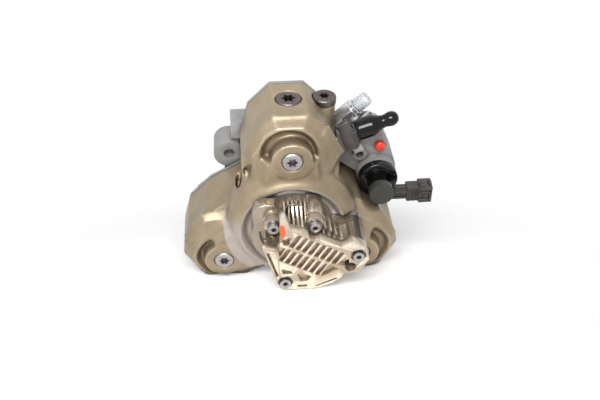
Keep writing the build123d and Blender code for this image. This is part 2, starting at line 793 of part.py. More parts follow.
def slot_rows():
    """Two rows of slots with ribs between them, and the corner pockets at their ends."""
    cuts = []
    reach = (slot_count - 1) / 2 * slot_pitch
    row_v = (slot_length + rib_wall + 0.7) / 2
    for row in (1, -1):
        for i in range(slot_count):
            if row < 0 and i == slot_count - 1:
                continue
            x, z = rib_point(i * slot_pitch - reach, row * row_v)
            bar = RectangleRounded(slot_length, slot_width, slot_corner, rotation=rib_angle + 90)
            cuts.append(lift(Pos(x, z) * bar, cover_y - 1, cover_y + slot_depth))
    x, z = rib_point(-reach - slot_pitch, row_v - (slot_length - short_slot) / 2)
    bar = RectangleRounded(short_slot, slot_width, slot_corner, rotation=rib_angle + 90)
    cuts.append(lift(Pos(x, z) * bar, cover_y - 1, cover_y + slot_depth))
    return cuts


def pocket(points, depth):
    """Recess in the ribbed face, from (x, z) points."""
    return prism(points, cover_y - 1, cover_y + depth)


def corner_pockets():
    """Three-cornered pockets at the ends of the rows and the recesses along the edges."""
    right = [rib_point(*q) for q in ((24.5, 2), (34, 3.5), (34, 8), (27.5, 15))]
    low_right = [rib_point(*q) for q in ((18.5, -15.5), (18.5, -2), (29, -1.5), (21, -15))]
    left = [rib_point(*q) for q in ((-34, -1.8), (-24.5, -1.8), (-24.5, -12))]
    top_left = [rib_point(*q) for q in ((-33, 3), (-24.5, 2.2), (-24.5, 6), (-31, 7))]
    edge = [(-25.5, 11.5), (-23.5, 12.5), (-15.5, -16), (-17.5, -17.5)]
    beside_screw = [(-13, -8), (-5, -11), (-3.5, -14.5), (-12, -14.5)]
    foot = [(0.5, -16), (4, -13), (13, -19), (10, -23.5), (3.5, -24)]
    foot_edge = [(1, -28.5), (9.5, -28.5), (9, -31.5), (1, -31.5)]
    low_edge = [(16.5, -30.5), (35, -22), (35.5, -23.5), (17, -32)]
    shapes = [(right, 5), (low_right, 5), (left, 4), (top_left, 5), (edge, 4), (beside_screw, 3), (foot, 4),
              (foot_edge, 4), (low_edge, 4)]
    return [pocket(points, depth) for points, depth in shapes]


def upright_fins():
    """Thin fins between the arm and the second screw, with the two ridges that arch over them."""
    fins = []
    for i, x in enumerate(fin_places):
        top = 40.5 - 0.10 * (i - 2) ** 2
        outline = [(cover_front_y - 7, 18), (cover_front_y - 7, top), (cover_front_y - 14, top),
                   (cover_y + 14, 32 - 0.5 * i), (cover_y + 1, 29 - 0.6 * i), (cover_y + 1, 18)]
        side = Polyline(*[(x - 0.8, y, z) for y, z in outline], close=True)
        fins.append(extrude(make_face(side), 1.6, dir=(1, 0, 0)))
    for y in (cover_front_y - 9, cover_front_y - 14):
        ring = cyl(13.0, y, y - 2.2, z=27.5) - cyl(10.4, y + 1, y - 4, z=27.5)
        fins.append(ring & slab(-20, 20, y - 5, y + 5, 27, 60))
    return fins


def sweeping_fins():
    """Fins to the right of the second screw that sweep down to the panel's edge."""
    fins = []
    for i in range(5):
        u = 3.5 + i * slot_pitch
        u0, u1 = u - rib_wall / 2, u + rib_wall / 2
        back = rib_block(u0, u1, 6, 21 - 0.9 * i, cover_front_y - 8, cover_y + 18)
        front = rib_block(u0, u1, 6, 17.5 - 0.9 * i, cover_y + 18, cover_y + 2)
        fins += [back, front]
    return fins


def screw_wells():
    """Room round the two upper screws, open towards the top."""
    wells = []
    for (x, z), seat in zip(screw_spots[:2], screw_seat_y):
        wells.append(cyl(well_r, cover_y - 1, seat, x=x, z=z))
        wells.append(slab(x - well_r, x + well_r, cover_y - 1, seat, z, z + 16))
    return wells


def make_pump_cover():
    """Cast cover that houses the two gears, ribbed on its outer face."""
    body = lift(pump_outline(), cover_front_y, cover_front_y - 9)
    body += prism(cover_core, cover_front_y - 8, cover_y + panel_thick - 1)
    body += [cyl(gear_outer_r + 3, cover_front_y - 8, gear_rear_y - 4, x=x, z=z)
             for x, z in ((0, 0), (driven_x, driven_z))]
    body += sweeping_fins()
    body += upright_fins()
    body -= screw_wells()
    body += prism(cover_face, cover_y + panel_thick, cover_y)
    for (x, z), seat in zip(screw_spots, screw_seat_y):
        body += cyl(screw_head_r + 2.1, seat, cover_front_y - 8, x=x, z=z)
        body += cyl(screw_head_r + 3.1, seat + 6, cover_front_y - 8, x=x, z=z)
    body += rib_block(-22, -9, 13.5, 17, cover_front_y - 8, cover_y + 12)
    body += cyl(port_r + 3, cover_y, cover_front_y - 8, x=port_spot[0], z=port_spot[1])
    body -= [cyl(gear_outer_r + 0.1, gear_rear_y - 0.1, cover_front_y + 1, x=x, z=z)
             for x, z in ((0, 0), (driven_x, driven_z))]
    body -= cyl(idler_r - 0.02, gear_rear_y - 8, gear_front_y, x=driven_x, z=driven_z)
    for (x, z), seat in zip(screw_spots, screw_seat_y):
        body -= cyl(screw_head_r + 0.6, cover_y - 1, seat, x=x, z=z)
        body -= cyl(screw_r + 0.3, seat - 1, cover_front_y + 1, x=x, z=z)
    body -= cyl(port_r, cover_y - 1, cover_y + port_depth, x=port_spot[0], z=port_spot[1])
    body -= slot_rows()
    body -= corner_pockets()
    return body


def make_idler_pin():
    return cyl(idler_r - 0.02, gear_rear_y - 7.5, plate_front_y, x=driven_x, z=driven_z)


# ---- metering valve ----


def valve_screw_places():
    """Screws of the valve's flange, as (x, z)."""
    spots = []
    for a in valve_screw_angles:
        reach = valve_screw_circle
        spots.append((valve_x + reach * cos(radians(a)), valve_z + reach * sin(radians(a))))
    return spots


def make_valve_flange():
    ring = cyl(valve_flange_r, valve_flange_y, valve_seat_y, x=valve_x, z=valve_z)
    ring += cyl(valve_bore_r - 0.1, valve_seat_y, valve_seat_y + 14, x=valve_x, z=valve_z)
    ring -= cyl(spool_r, spool_rear_y - spool_travel - rest_gap, valve_seat_y + 15, x=valve_x, z=valve_z)
    ring -= [cyl(valve_screw_r + rest_gap, valve_flange_y - 1, valve_seat_y + 1, x=x, z=z)
             for x, z in valve_screw_places()]
    return ring


def arm_block(x0, x1, half):
    """Length of the plug-in arm, centred on its axis."""
    y, z = connector_y, connector_z
    return slab(x0, x1, y - half[0], y + half[0], z - half[1], z + half[1])


def make_valve_body():
    """Solenoid can behind the flange, with its round cap and the arm of its socket."""
    body = cyl(can_r, valve_cap_y + 6, valve_flange_y, x=valve_x, z=valve_z)
    body += cyl(can_cap_r, valve_cap_y, valve_cap_y + 8, x=valve_x, z=valve_z)
    tip = connector_tip_x
    body += arm_block(valve_x + 4, tip - neck_end, neck_half)
    body += arm_block(tip - neck_end - 1, tip - shroud_start + 1, block_half)
    body += arm_block(tip - shroud_start, tip, shroud_half)
    latch_y = connector_y - shroud_half[0]
    body += slab(tip - 9, tip - 1, latch_y - 1.2, latch_y + 0.2, connector_z - 2.5, connector_z + 2.5)
    body -= arm_block(tip - shroud_start + 1, tip + 1, [half - shroud_wall for half in shroud_half])
    return body


def make_connector_pins():
    pins = []
    for z in (-pin_pitch / 2, pin_pitch / 2):
        pins.append(slab(connector_tip_x - 11, connector_tip_x - 3, connector_y - 0.4, connector_y + 0.4,
                         connector_z + z - 1.2, connector_z + z + 1.2))
    return pins


def make_spool():
    """Metering piston with its three lands, in the bore of the valve's sleeve."""
    spool = cyl(spool_r - 1.4, spool_rear_y, spool_front_y, x=valve_x, z=valve_z)
    for y in (spool_rear_y, spool_rear_y + 4.5, spool_front_y - 2.5):
        spool += cyl(spool_r - run_gap, y, y + 2.5, x=valve_x, z=valve_z)
    return spool


def make_spool_spring():
    spring = coil(spool_coil_r, spool_wire_r, spool_spring_length - 2 * spool_wire_r, 3)
    return Pos(valve_x, spool_front_y + spool_spring_length - 0.4, valve_z) * Rot(X=90) * spring


def make_thrust_washers():
    """Washers at both ends of the eccentric."""
    rear = bush(rear_journal_r, chamber_r - 14, chamber_rear_y, chamber_rear_y + washer_thick)
    front = bush(front_journal_r, chamber_r - 14, joint_y - 4 - washer_thick, joint_y - 4)
    return [rear, front]


def make_overflow_piston():
    x, z = overflow_at
    piston = cyl(overflow_r - 0.05, overflow_rear_y, overflow_rear_y + overflow_piston_length, x=x, z=z)
    bore_end_y = overflow_rear_y + overflow_piston_length + 1
    return piston - cyl(overflow_piston_bore_r, overflow_rear_y + 2, bore_end_y, x=x, z=z)


def make_overflow_spring():
    x, z = overflow_at
    start = overflow_rear_y + overflow_piston_length + 0.2
    length = overflow_plug_y - start - 0.2
    spring = coil(overflow_coil_r, overflow_wire_r, length - 1.2, 3)
    return Pos(x, overflow_plug_y - 0.8, z) * Rot(X=90) * spring


def make_overflow_plug():
    x, z = overflow_at
    plug = cyl(overflow_r, overflow_plug_y, overflow_mouth_y, x=x, z=z)
    socket = torx_socket(overflow_socket_r, overflow_socket_depth)
    return plug - Pos(x, overflow_mouth_y, z) * Rot(X=-90) * socket


def make_valve_screws():
    screw = flange_head_screw(valve_screw_r, valve_screw_head_r, valve_screw_head,
                              valve_seat_y - valve_flange_y + valve_screw_grip, valve_socket_r)
    return [Pos(x, valve_flange_y, z) * Rot(X=90) * screw for x, z in valve_screw_places()]


# ---- fittings ----


def make_union():
    """Delivery union: hexagon, male thread and sealing cone."""
    body = hexagon(union_hex, union_hex_height)
    body += Pos(0, 0, -union_foot) * hexagon(union_foot_hex, union_foot)
    shank_z = union_hex_height + union_shank_length / 2
    body += Pos(0, 0, shank_z) * Cylinder(union_shank_r, union_shank_length)
    body += Pos(0, 0, -union_sink / 2) * Cylinder(union_thread_r, union_sink)
    body -= Cylinder(union_bore_r, 60)
    body -= Pos(0, 0, union_hex_height + union_shank_length - 2.5) * Cone(union_bore_r, union_cone_r, 5)
    return along(union_at, add(union_at, union_dir)) * body


def make_clear_cap():
    cap = Cylinder(clear_cap_r, clear_cap_length)
    cap -= Pos(0, 0, -1.2) * Cylinder(clear_cap_r - clear_cap_wall, clear_cap_length)
    middle = clear_cap_start + clear_cap_length / 2
    return along(union_at, add(union_at, union_dir)) * Pos(0, 0, middle) * cap


def make_supply_fitting():
    """Barbed supply fitting with a hexagon."""
    body = Pos(0, 0, -supply_sink / 2) * Cylinder(supply_thread_r, supply_sink)
    body += hexagon(supply_hex, supply_hex_height)
    body += Pos(0, 0, supply_hex_height - 1 + barb_length / 2) * Cylinder(barb_r, barb_length)
    body += Pos(0, 0, barb_length) * Cone(barb_crest_r, barb_r, 4)
    body -= Pos(0, 0, 12) * Cylinder(barb_bore_r, 28)
    return along(supply_at, add(supply_at, supply_dir)) * body


def make_supply_cap():
    """Rubber cap over the supply fitting, with a pull knob."""
    profile = [(0, 5.3), (9.8, 5.3), (10.2, 8), (9.6, 17), (7.2, 22), (5.2, 26), (4.8, 31), (6.4, 35),
               (6.8, 38), (6.0, 41), (3.5, 43), (0, 43.5)]
    cap = turned_z(profile)
    cap -= Pos(0, 0, 13.8) * Cylinder(supply_cap_bore_r, 18)
    return along(supply_at, add(supply_at, supply_dir)) * cap


def make_red_plug():
    body = Pos(0, 0, 1.5) * Cylinder(red_plug_r, 3) + Pos(0, 0, -3) * Cylinder(red_plug_r - 1.05, 7)
    return Pos(red_plug_at[0], block_rear_y, red_plug_at[1]) * Rot(X=90) * body


def make_seal():
    """Shaft seal in the flange's mouth."""
    return bush(front_journal_r + 0.05, seal_r, -9, 0)


nodes = {
    "pump_housing": make_housing,
    "front_flange": make_flange,
    "drive_shaft": make_shaft,
    "shaft_key": make_key,
    "shaft_seal": make_seal,
    "front_bush": lambda: bush(front_journal_r, front_journal_r + bush_wall, joint_y - 4, -10),
    "rear_bush": lambda: bush(rear_journal_r, rear_journal_r + bush_wall, seat_y, chamber_rear_y),
    "polygon_ring": make_polygon_ring,
    "ring_bush": lambda: bush(eccentric_r, eccentric_r + ring_bush_wall, barrel_y - ring_width / 2,
                              barrel_y + ring_width / 2, z=-eccentricity),
    "radial_plugs": make_radial_plugs,
    "axial_plugs": make_axial_plugs,
    "side_plug": make_side_plug,
    "inlet_valves": make_inlet_valves,
    "delivery_springs": make_delivery_springs,
    "flange_screws": make_flange_screws,
    "cover_screws": make_cover_screws,
    "gear_pump_cover": make_pump_cover,
    "gear_pump_plate": make_pump_plate,
    "drive_gear": make_drive_gear,
    "driven_gear": make_driven_gear,
    "idler_pin": make_idler_pin,
    "valve_flange": make_valve_flange,
    "valve_body": make_valve_body,
    "connector_pins": make_connector_pins,
    "valve_screws": make_valve_screws,
    "delivery_union": make_union,
    "clear_cap": make_clear_cap,
    "supply_fitting": make_supply_fitting,
    "supply_cap": make_supply_cap,
    "red_plug": make_red_plug,
    "metering_spool": make_spool,
    "spool_spring": make_spool_spring,
    "thrust_washers": make_thrust_washers,
    "overflow_piston": make_overflow_piston,
    "overflow_spring": make_overflow_spring,
    "overflow_plug": make_overflow_plug,
}

head_nodes = {
    "tappet": make_tappet,
    "plunger": make_plunger,
    "spring_retainer": make_retainer,
    "plunger_spring": make_plunger_spring,
    "inlet_poppet": make_inlet_poppet,
    "delivery_ball": make_delivery_ball,
}


def main():
    os.makedirs("parts", exist_ok=True)
    for name, make in nodes.items():
        shape = make()
        if isinstance(shape, list):
            shape = Compound(children=shape)
        export_step(shape, f"parts/{name}.step")
    for name, make in head_nodes.items():
        for i in range(heads):
            export_step(to_head(make(), i), f"parts/{name}_{i + 1}.step")


main()
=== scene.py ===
import json
import math
import bpy
from mathutils import Matrix, Vector


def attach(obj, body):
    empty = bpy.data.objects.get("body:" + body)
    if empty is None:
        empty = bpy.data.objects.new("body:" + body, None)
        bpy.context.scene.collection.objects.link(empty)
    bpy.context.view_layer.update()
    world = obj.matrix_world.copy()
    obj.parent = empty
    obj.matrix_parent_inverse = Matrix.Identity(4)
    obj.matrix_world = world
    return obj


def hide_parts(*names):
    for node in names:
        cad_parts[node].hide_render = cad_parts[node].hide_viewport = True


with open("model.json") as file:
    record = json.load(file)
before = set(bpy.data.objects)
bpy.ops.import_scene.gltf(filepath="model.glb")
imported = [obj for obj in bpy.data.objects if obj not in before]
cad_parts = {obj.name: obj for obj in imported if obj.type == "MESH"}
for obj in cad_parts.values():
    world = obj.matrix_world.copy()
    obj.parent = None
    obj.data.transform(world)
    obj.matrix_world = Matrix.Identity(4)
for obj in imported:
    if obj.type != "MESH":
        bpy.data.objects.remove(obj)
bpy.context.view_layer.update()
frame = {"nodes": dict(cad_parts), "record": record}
nodes = frame["nodes"]
mm = 0.001
print("pump: CAD frame loaded,", len(nodes), "nodes")


def tone(r, g, b):
    # a colour as it looks on screen, turned into the shader's own scale
    def straighten(c):
        c /= 255
        return c / 12.92 if c <= 0.04045 else ((c + 0.055) / 1.055) ** 2.4
    return (straighten(r), straighten(g), straighten(b), 1.0)


floatKind = "NodeSocketFloat"
colourKind = "NodeSocketColor"


def newGroup(name, inputs, outputs):
    # an empty shader group with its named sockets
    group = bpy.data.node_groups.new(name, "ShaderNodeTree")
    for label, kind, value in inputs:
        socket = group.interface.new_socket(name=label, in_out="INPUT", socket_type=kind)
        if value is not None:
            socket.default_value = value
    for label, kind in outputs:
        group.interface.new_socket(name=label, in_out="OUTPUT", socket_type=kind)
    enter = group.nodes.new("NodeGroupInput")
    leave = group.nodes.new("NodeGroupOutput")
    return group, enter, leave


def addNode(tree, kind, settings=None, values=None):
    # a node with its own settings and the values of its free sockets
    node = tree.nodes.new(kind)
    for key, value in (settings or {}).items():
        setattr(node, key, value)
    for key, value in (values or {}).items():
        node.inputs[key].default_value = value
    return node


def rampNode(tree, stops):
    # a grey ramp from (position, value) stops
    node = tree.nodes.new("ShaderNodeValToRGB")
    while len(node.color_ramp.elements) < len(stops):
        node.color_ramp.elements.new(0.5)
    for element, (place, value) in zip(node.color_ramp.elements, stops):
        element.position = place
        element.color = (value, value, value, 1.0)
    return node


def makeToneGroup():
    # slow drift between two colours, as plating and heat leave on a surface
    group, enter, leave = newGroup(
        "toneDrift",
        [("Base", colourKind, None), ("Drift", colourKind, None), ("Scale", floatKind, 25.0),
         ("Amount", floatKind, 0.5)],
        [("Colour", colourKind), ("Mask", floatKind)])
    place = addNode(group, "ShaderNodeTexCoord")
    wide = addNode(group, "ShaderNodeTexNoise", values={"Detail": 4.0, "Roughness": 0.6})
    narrow = rampNode(group, [(0.35, 0.0), (0.68, 1.0)])
    scaled = addNode(group, "ShaderNodeMath", {"operation": "MULTIPLY"})
    mix = addNode(group, "ShaderNodeMix", {"data_type": "RGBA"})
    link = group.links.new
    link(place.outputs["Object"], wide.inputs["Vector"])
    link(enter.outputs["Scale"], wide.inputs["Scale"])
    link(wide.outputs["Fac"], narrow.inputs["Fac"])
    link(narrow.outputs["Color"], scaled.inputs[0])
    link(enter.outputs["Amount"], scaled.inputs[1])
    link(scaled.outputs[0], mix.inputs[0])
    link(enter.outputs["Base"], mix.inputs[6])
    link(enter.outputs["Drift"], mix.inputs[7])
    link(mix.outputs[2], leave.inputs["Colour"])
    link(scaled.outputs[0], leave.inputs["Mask"])
    return group


def makeCastGroup():
    # grain of a forged or cast skin: fine sand texture over slow hammering
    group, enter, leave = newGroup(
        "castSkin",
        [("Grain", floatKind, 900.0), ("Swell", floatKind, 90.0), ("Coarse", floatKind, 0.4)],
        [("Height", floatKind), ("Speckle", floatKind)])
    place = addNode(group, "ShaderNodeTexCoord")
    fine = addNode(group, "ShaderNodeTexNoise", values={"Detail": 3.0, "Roughness": 0.7})
    slow = addNode(group, "ShaderNodeTexNoise", values={"Detail": 2.0, "Roughness": 0.5})
    mix = addNode(group, "ShaderNodeMix", {"data_type": "FLOAT"})
    speckle = rampNode(group, [(0.52, 0.0), (0.72, 1.0)])
    link = group.links.new
    for noise, label in ((fine, "Grain"), (slow, "Swell")):
        link(place.outputs["Object"], noise.inputs["Vector"])
        link(enter.outputs[label], noise.inputs["Scale"])
    link(enter.outputs["Coarse"], mix.inputs[0])
    link(fine.outputs["Fac"], mix.inputs[2])
    link(slow.outputs["Fac"], mix.inputs[3])
    link(fine.outputs["Fac"], speckle.inputs["Fac"])
    link(mix.outputs[0], leave.inputs["Height"])
    link(speckle.outputs["Color"], leave.inputs["Speckle"])
    return group


def makeEdgeGroup():
    # rubbed edges, from how sharply the surface turns, and painted shade in the hollows, from ambient
    # occlusion
    group, enter, leave = newGroup(
        "edgeAndHollow",
        [("Edge", floatKind, 1.0), ("Hollow", floatKind, 1.0), ("Reach", floatKind, 0.006)],
        [("Worn", floatKind), ("HollowShade", floatKind)])
    shape = addNode(group, "ShaderNodeNewGeometry")
    edge = rampNode(group, [(0.52, 0.0), (0.60, 1.0)])
    place = addNode(group, "ShaderNodeTexCoord")
    patch = addNode(group, "ShaderNodeTexNoise", values={"Scale": 180.0, "Detail": 4.0})
    broken = addNode(group, "ShaderNodeMath", {"operation": "MULTIPLY"})
    worn = addNode(group, "ShaderNodeMath", {"operation": "MULTIPLY", "use_clamp": True})
    # painted shade: ambient occlusion darkens the hollows and the gaps between parts
    shade = addNode(group, "ShaderNodeAmbientOcclusion", {"samples": 6})
    hollow = rampNode(group, [(0.35, 1.0), (0.85, 0.0)])
    hollowShade = addNode(group, "ShaderNodeMath", {"operation": "MULTIPLY", "use_clamp": True})
    link = group.links.new
    link(shape.outputs["Pointiness"], edge.inputs["Fac"])
    link(place.outputs["Object"], patch.inputs["Vector"])
    link(edge.outputs["Color"], broken.inputs[0])
    link(patch.outputs["Fac"], broken.inputs[1])
    link(broken.outputs[0], worn.inputs[0])
    link(enter.outputs["Edge"], worn.inputs[1])
    link(enter.outputs["Reach"], shade.inputs["Distance"])
    link(shade.outputs["AO"], hollow.inputs["Fac"])
    link(hollow.outputs["Color"], hollowShade.inputs[0])
    link(enter.outputs["Hollow"], hollowShade.inputs[1])
    link(worn.outputs[0], leave.inputs["Worn"])
    link(hollowShade.outputs[0], leave.inputs["HollowShade"])
    return group


def makeMachinedGroup():
    # turning marks: rings about the Y axis of the object, broken up by noise
    group, enter, leave = newGroup(
        "machinedMarks", [("Pitch", floatKind, 2500.0)], [("Height", floatKind)])
    place = addNode(group, "ShaderNodeTexCoord")
    scaled = addNode(group, "ShaderNodeVectorMath", {"operation": "MULTIPLY"})
    scaled.inputs[1].default_value = (1.0, 0.05, 1.0)
    lines = addNode(group, "ShaderNodeTexNoise", values={"Detail": 2.0, "Roughness": 0.6})
    link = group.links.new
    link(place.outputs["Object"], scaled.inputs[0])
    link(scaled.outputs[0], lines.inputs["Vector"])
    link(enter.outputs["Pitch"], lines.inputs["Scale"])
    link(lines.outputs["Fac"], leave.inputs["Height"])
    return group


toneDrift = makeToneGroup()
castSkin = makeCastGroup()
edgeAndHollow = makeEdgeGroup()
machinedMarks = makeMachinedGroup()


def useGroup(tree, group, **values):
    # a shared effect placed in a material with the material's own values
    node = tree.nodes.new("ShaderNodeGroup")
    node.node_tree = group
    for key, value in values.items():
        node.inputs[key].default_value = value
    return node


def blendColour(tree, factor, first, second):
    # goes from a linked colour to a plain one where the mask is one
    mix = addNode(tree, "ShaderNodeMix", {"data_type": "RGBA"})
    tree.links.new(factor, mix.inputs[0])
    tree.links.new(first, mix.inputs[6])
    mix.inputs[7].default_value = second
    return mix.outputs[2]


def blendValue(tree, factor, low, high):
    # a mask stretched over a range of values
    span = addNode(tree, "ShaderNodeMapRange", values={"To Min": low, "To Max": high})
    tree.links.new(factor, span.inputs["Value"])
    return span.outputs["Result"]


def mixValue(tree, factor, first, second):
    # goes from a linked value to a plain one where the mask is one
    mix = addNode(tree, "ShaderNodeMix", {"data_type": "FLOAT"})
    tree.links.new(factor, mix.inputs[0])
    tree.links.new(first, mix.inputs[2])
    mix.inputs[3].default_value = second
    return mix.outputs[0]


def hubTurnedAndSheenMask(tree, hub):
    # one on the lathe-turned lip, and on the lower left of the flank beside the gear pump as a painted
    # sheen where the light falls; nought on the forged skin
    place = addNode(tree, "ShaderNodeTexCoord")
    parts = addNode(tree, "ShaderNodeSeparateXYZ")
    flat = addNode(tree, "ShaderNodeCombineXYZ")
    radius = addNode(tree, "ShaderNodeVectorMath", {"operation": "LENGTH"})
    link = tree.links.new
    link(place.outputs["Object"], parts.inputs[0])
    link(parts.outputs["X"], flat.inputs["X"])
    link(parts.outputs["Z"], flat.inputs["Z"])
    link(flat.outputs[0], radius.inputs[0])

    def below(source, edge, soft):
        step = addNode(tree, "ShaderNodeMapRange", {"interpolation_type": "SMOOTHSTEP"},
                       {"From Min": edge - soft, "From Max": edge, "To Min": 1.0, "To Max": 0.0})
        link(source, step.inputs["Value"])
        return step.outputs["Result"]

    def join(operation, first, second):
        node = addNode(tree, "ShaderNodeMath", {"operation": operation})
        link(first, node.inputs[0])
        link(second, node.inputs[1])
        return node.outputs[0]

    lip = below(radius.outputs["Value"], hub["lipRadius"], hub["blend"])
    flank = join("MULTIPLY", below(radius.outputs["Value"], hub["flankRadius"], hub["blend"]),
                 below(parts.outputs["X"], hub["flankX"], hub["blendX"]))
    flank = join("MULTIPLY", flank, below(parts.outputs["Z"], hub["flankZ"], hub["blendZ"]))
    behind = below(parts.outputs["Y"], hub["innerY"], hub["blend"])
    return join("MULTIPLY", join("MAXIMUM", lip, flank), behind)


def paintMask(tree, spot):
    # one inside a wet-edged dab of inspection paint on the face of a part
    place = addNode(tree, "ShaderNodeTexCoord")
    x, y, z = spot["centre"]
    ragged = spot["ragged"]
    wobble = addNode(tree, "ShaderNodeTexNoise", values={"Scale": spot["raggedScale"], "Detail": 2.0})
    shift = addNode(tree, "ShaderNodeVectorMath", {"operation": "MULTIPLY_ADD"})
    shift.inputs[1].default_value = (ragged, 0.0, ragged)
    moved = addNode(tree, "ShaderNodeVectorMath", {"operation": "SUBTRACT"})
    moved.inputs[1].default_value = (x + ragged / 2, y, z + ragged / 2)
    squeezed = addNode(tree, "ShaderNodeVectorMath", {"operation": "DIVIDE"})
    squeezed.inputs[1].default_value = spot["reach"]
    radius = addNode(tree, "ShaderNodeVectorMath", {"operation": "LENGTH"})
    edge = addNode(tree, "ShaderNodeMapRange", {"interpolation_type": "SMOOTHSTEP"},
                   {"From Min": 1 - spot["soft"], "From Max": 1 + spot["soft"], "To Min": 1.0,
                    "To Max": 0.0})
    link = tree.links.new
    link(place.outputs["Object"], wobble.inputs["Vector"])
    link(wobble.outputs["Color"], shift.inputs[0])
    link(place.outputs["Object"], shift.inputs[2])
    link(shift.outputs[0], moved.inputs[0])
    link(moved.outputs[0], squeezed.inputs[0])
    link(squeezed.outputs[0], radius.inputs[0])
    link(radius.outputs["Value"], edge.inputs["Value"])
    return edge.outputs["Result"]


def depthMask(tree, depth):
    # rises from nought at one station along the shaft to one at another
    place = addNode(tree, "ShaderNodeTexCoord")
    parts = addNode(tree, "ShaderNodeSeparateXYZ")
    span = addNode(tree, "ShaderNodeMapRange", {"interpolation_type": "SMOOTHSTEP"},
                   {"From Min": depth["from"], "From Max": depth["to"]})
    tree.links.new(place.outputs["Object"], parts.inputs[0])
    tree.links.new(parts.outputs["Y"], span.inputs["Value"])
    return span.outputs["Result"]


# what a finish has unless its own dictionary says otherwise
usualFinish = {"metal": 0.6, "specular": 0.5, "driftScale": 30.0, "driftAmount": 0.6, "grain": 900.0,
               "swell": 90.0, "coarse": 0.4, "edge": 0.8, "hollow": 0.7, "reach": 0.006, "bump": 0.3,
               "depth": 0.0004, "turned": None, "turnedHubAndSheen": None, "recessShade": None, "paint": None}


def makeMetal(name, look):
    # metal, plastic or rubber with drifting tone, grain, rubbed edges and painted shade in the hollows
    finish = {**usualFinish, **look}
    material = bpy.data.materials.new(name)
    material.use_nodes = True
    tree = material.node_tree
    shader = tree.nodes["Principled BSDF"]
    drift = useGroup(tree, toneDrift, Base=tone(*finish["base"]), Drift=tone(*finish["drift"]),
                     Scale=finish["driftScale"], Amount=finish["driftAmount"])
    skin = useGroup(tree, castSkin, Grain=finish["grain"], Swell=finish["swell"],
                    Coarse=finish["coarse"])
    edges = useGroup(tree, edgeAndHollow, Edge=finish["edge"], Hollow=finish["hollow"],
                     Reach=finish["reach"])
    worn = tone(*finish["worn"])
    colour = blendColour(tree, skin.outputs["Speckle"], drift.outputs["Colour"],
                         tone(*finish["speckle"]))
    colour = blendColour(tree, edges.outputs["Worn"], colour, worn)
    # painted shade: the colour turns darker in the hollows that ambient occlusion finds
    colour = blendColour(tree, edges.outputs["HollowShade"], colour, tone(*finish["hollowShade"]))
    rough = blendValue(tree, skin.outputs["Height"], *finish["rough"])
    shader.inputs["Metallic"].default_value = finish["metal"]
    shader.inputs["Specular IOR Level"].default_value = finish["specular"]
    hub = finish["turnedHubAndSheen"]
    if hub:
        # the turned lip's own metal colour, and on the flank's lower left a painted sheen
        colour = blendColour(tree, hubTurnedAndSheenMask(tree, hub), colour, tone(*hub["colour"]))
    recessShade = finish["recessShade"]
    if recessShade:
        # painted shade: darker colour on the cover behind its front panel, where the recess is in shade
        below = depthMask(tree, recessShade)
        colour = blendColour(tree, below, colour, tone(*recessShade["colour"]))
        colour = blendColour(tree, edges.outputs["Worn"], colour, worn)
        rough = mixValue(tree, below, rough, recessShade["rough"])
    paint = finish["paint"]
    if paint:
        dab = paintMask(tree, paint)
        colour = blendColour(tree, dab, colour, tone(*paint["colour"]))
        rough = mixValue(tree, dab, rough, paint["rough"])
        tree.links.new(blendValue(tree, dab, finish["metal"], 0.0), shader.inputs["Metallic"])
    tree.links.new(colour, shader.inputs["Base Color"])
    tree.links.new(rough, shader.inputs["Roughness"])
    bump = addNode(tree, "ShaderNodeBump",
                   values={"Strength": finish["bump"], "Distance": finish["depth"]})
    height = skin.outputs["Height"]
    if finish["turned"]:
        height = useGroup(tree, machinedMarks, Pitch=finish["turned"]).outputs["Height"]
    tree.links.new(height, bump.inputs["Height"])
    tree.links.new(bump.outputs["Normal"], shader.inputs["Normal"])
    return material


# in each look, the colour for the hollows is painted shade, laid in by ambient occlusion
goldForgingLook = {"base": (156, 141, 116), "drift": (104, 91, 73), "speckle": (134, 120, 98),
                   "worn": (230, 216, 190), "hollowShade": (70, 55, 38), "rough": (0.30, 0.48), "metal": 0.48,
                   "bump": 0.4, "depth": 0.0006, "grain": 650.0, "swell": 110.0, "driftScale": 13.0,
                   "driftAmount": 0.75, "edge": 1.0, "hollow": 0.85, "reach": 0.012}
# turned metal on the lip; the flank patch is kept to the lower left, a painted sheen where the light
# falls on it
hubTurnedAndSheen = {"colour": (164, 154, 147), "lipRadius": 0.0485, "flankRadius": 0.063, "flankX": -0.004,
             "flankZ": 0.020, "innerY": -0.080, "blend": 0.002, "blendX": 0.012, "blendZ": 0.020}
greyCastingLook = {"base": (148, 147, 147), "drift": (124, 122, 122), "speckle": (134, 132, 132),
                   "worn": (196, 196, 192), "hollowShade": (72, 70, 64), "rough": (0.42, 0.62), "metal": 0.5,
                   "bump": 0.4, "depth": 0.0005, "grain": 900.0, "swell": 120.0}
coverLook = {"base": (178, 163, 144), "drift": (156, 138, 116), "speckle": (162, 146, 126),
             "worn": (244, 234, 216), "hollowShade": (104, 84, 60), "rough": (0.22, 0.38), "metal": 0.8,
             "bump": 0.22, "depth": 0.0003, "hollow": 0.7, "reach": 0.003, "driftScale": 60.0,
             # painted shade: the cover behind its front panel is darkened as a recess in shade
             "recessShade": {"from": -0.1380, "to": -0.1335, "colour": (150, 138, 124), "rough": 0.22},
             "paint": {"centre": (-0.0124, -0.1425, 0.0345), "reach": (0.0030, 0.0035, 0.0080),
                       "ragged": 0.0022, "raggedScale": 260.0, "soft": 0.06, "colour": (252, 84, 34),
                       "rough": 0.45}}
steelLook = {"base": (176, 174, 172), "drift": (156, 154, 152), "speckle": (160, 158, 156),
             "worn": (218, 218, 216), "hollowShade": (70, 66, 62), "rough": (0.22, 0.36), "metal": 0.9,
             "bump": 0.1, "depth": 0.0002, "turned": 3000.0}
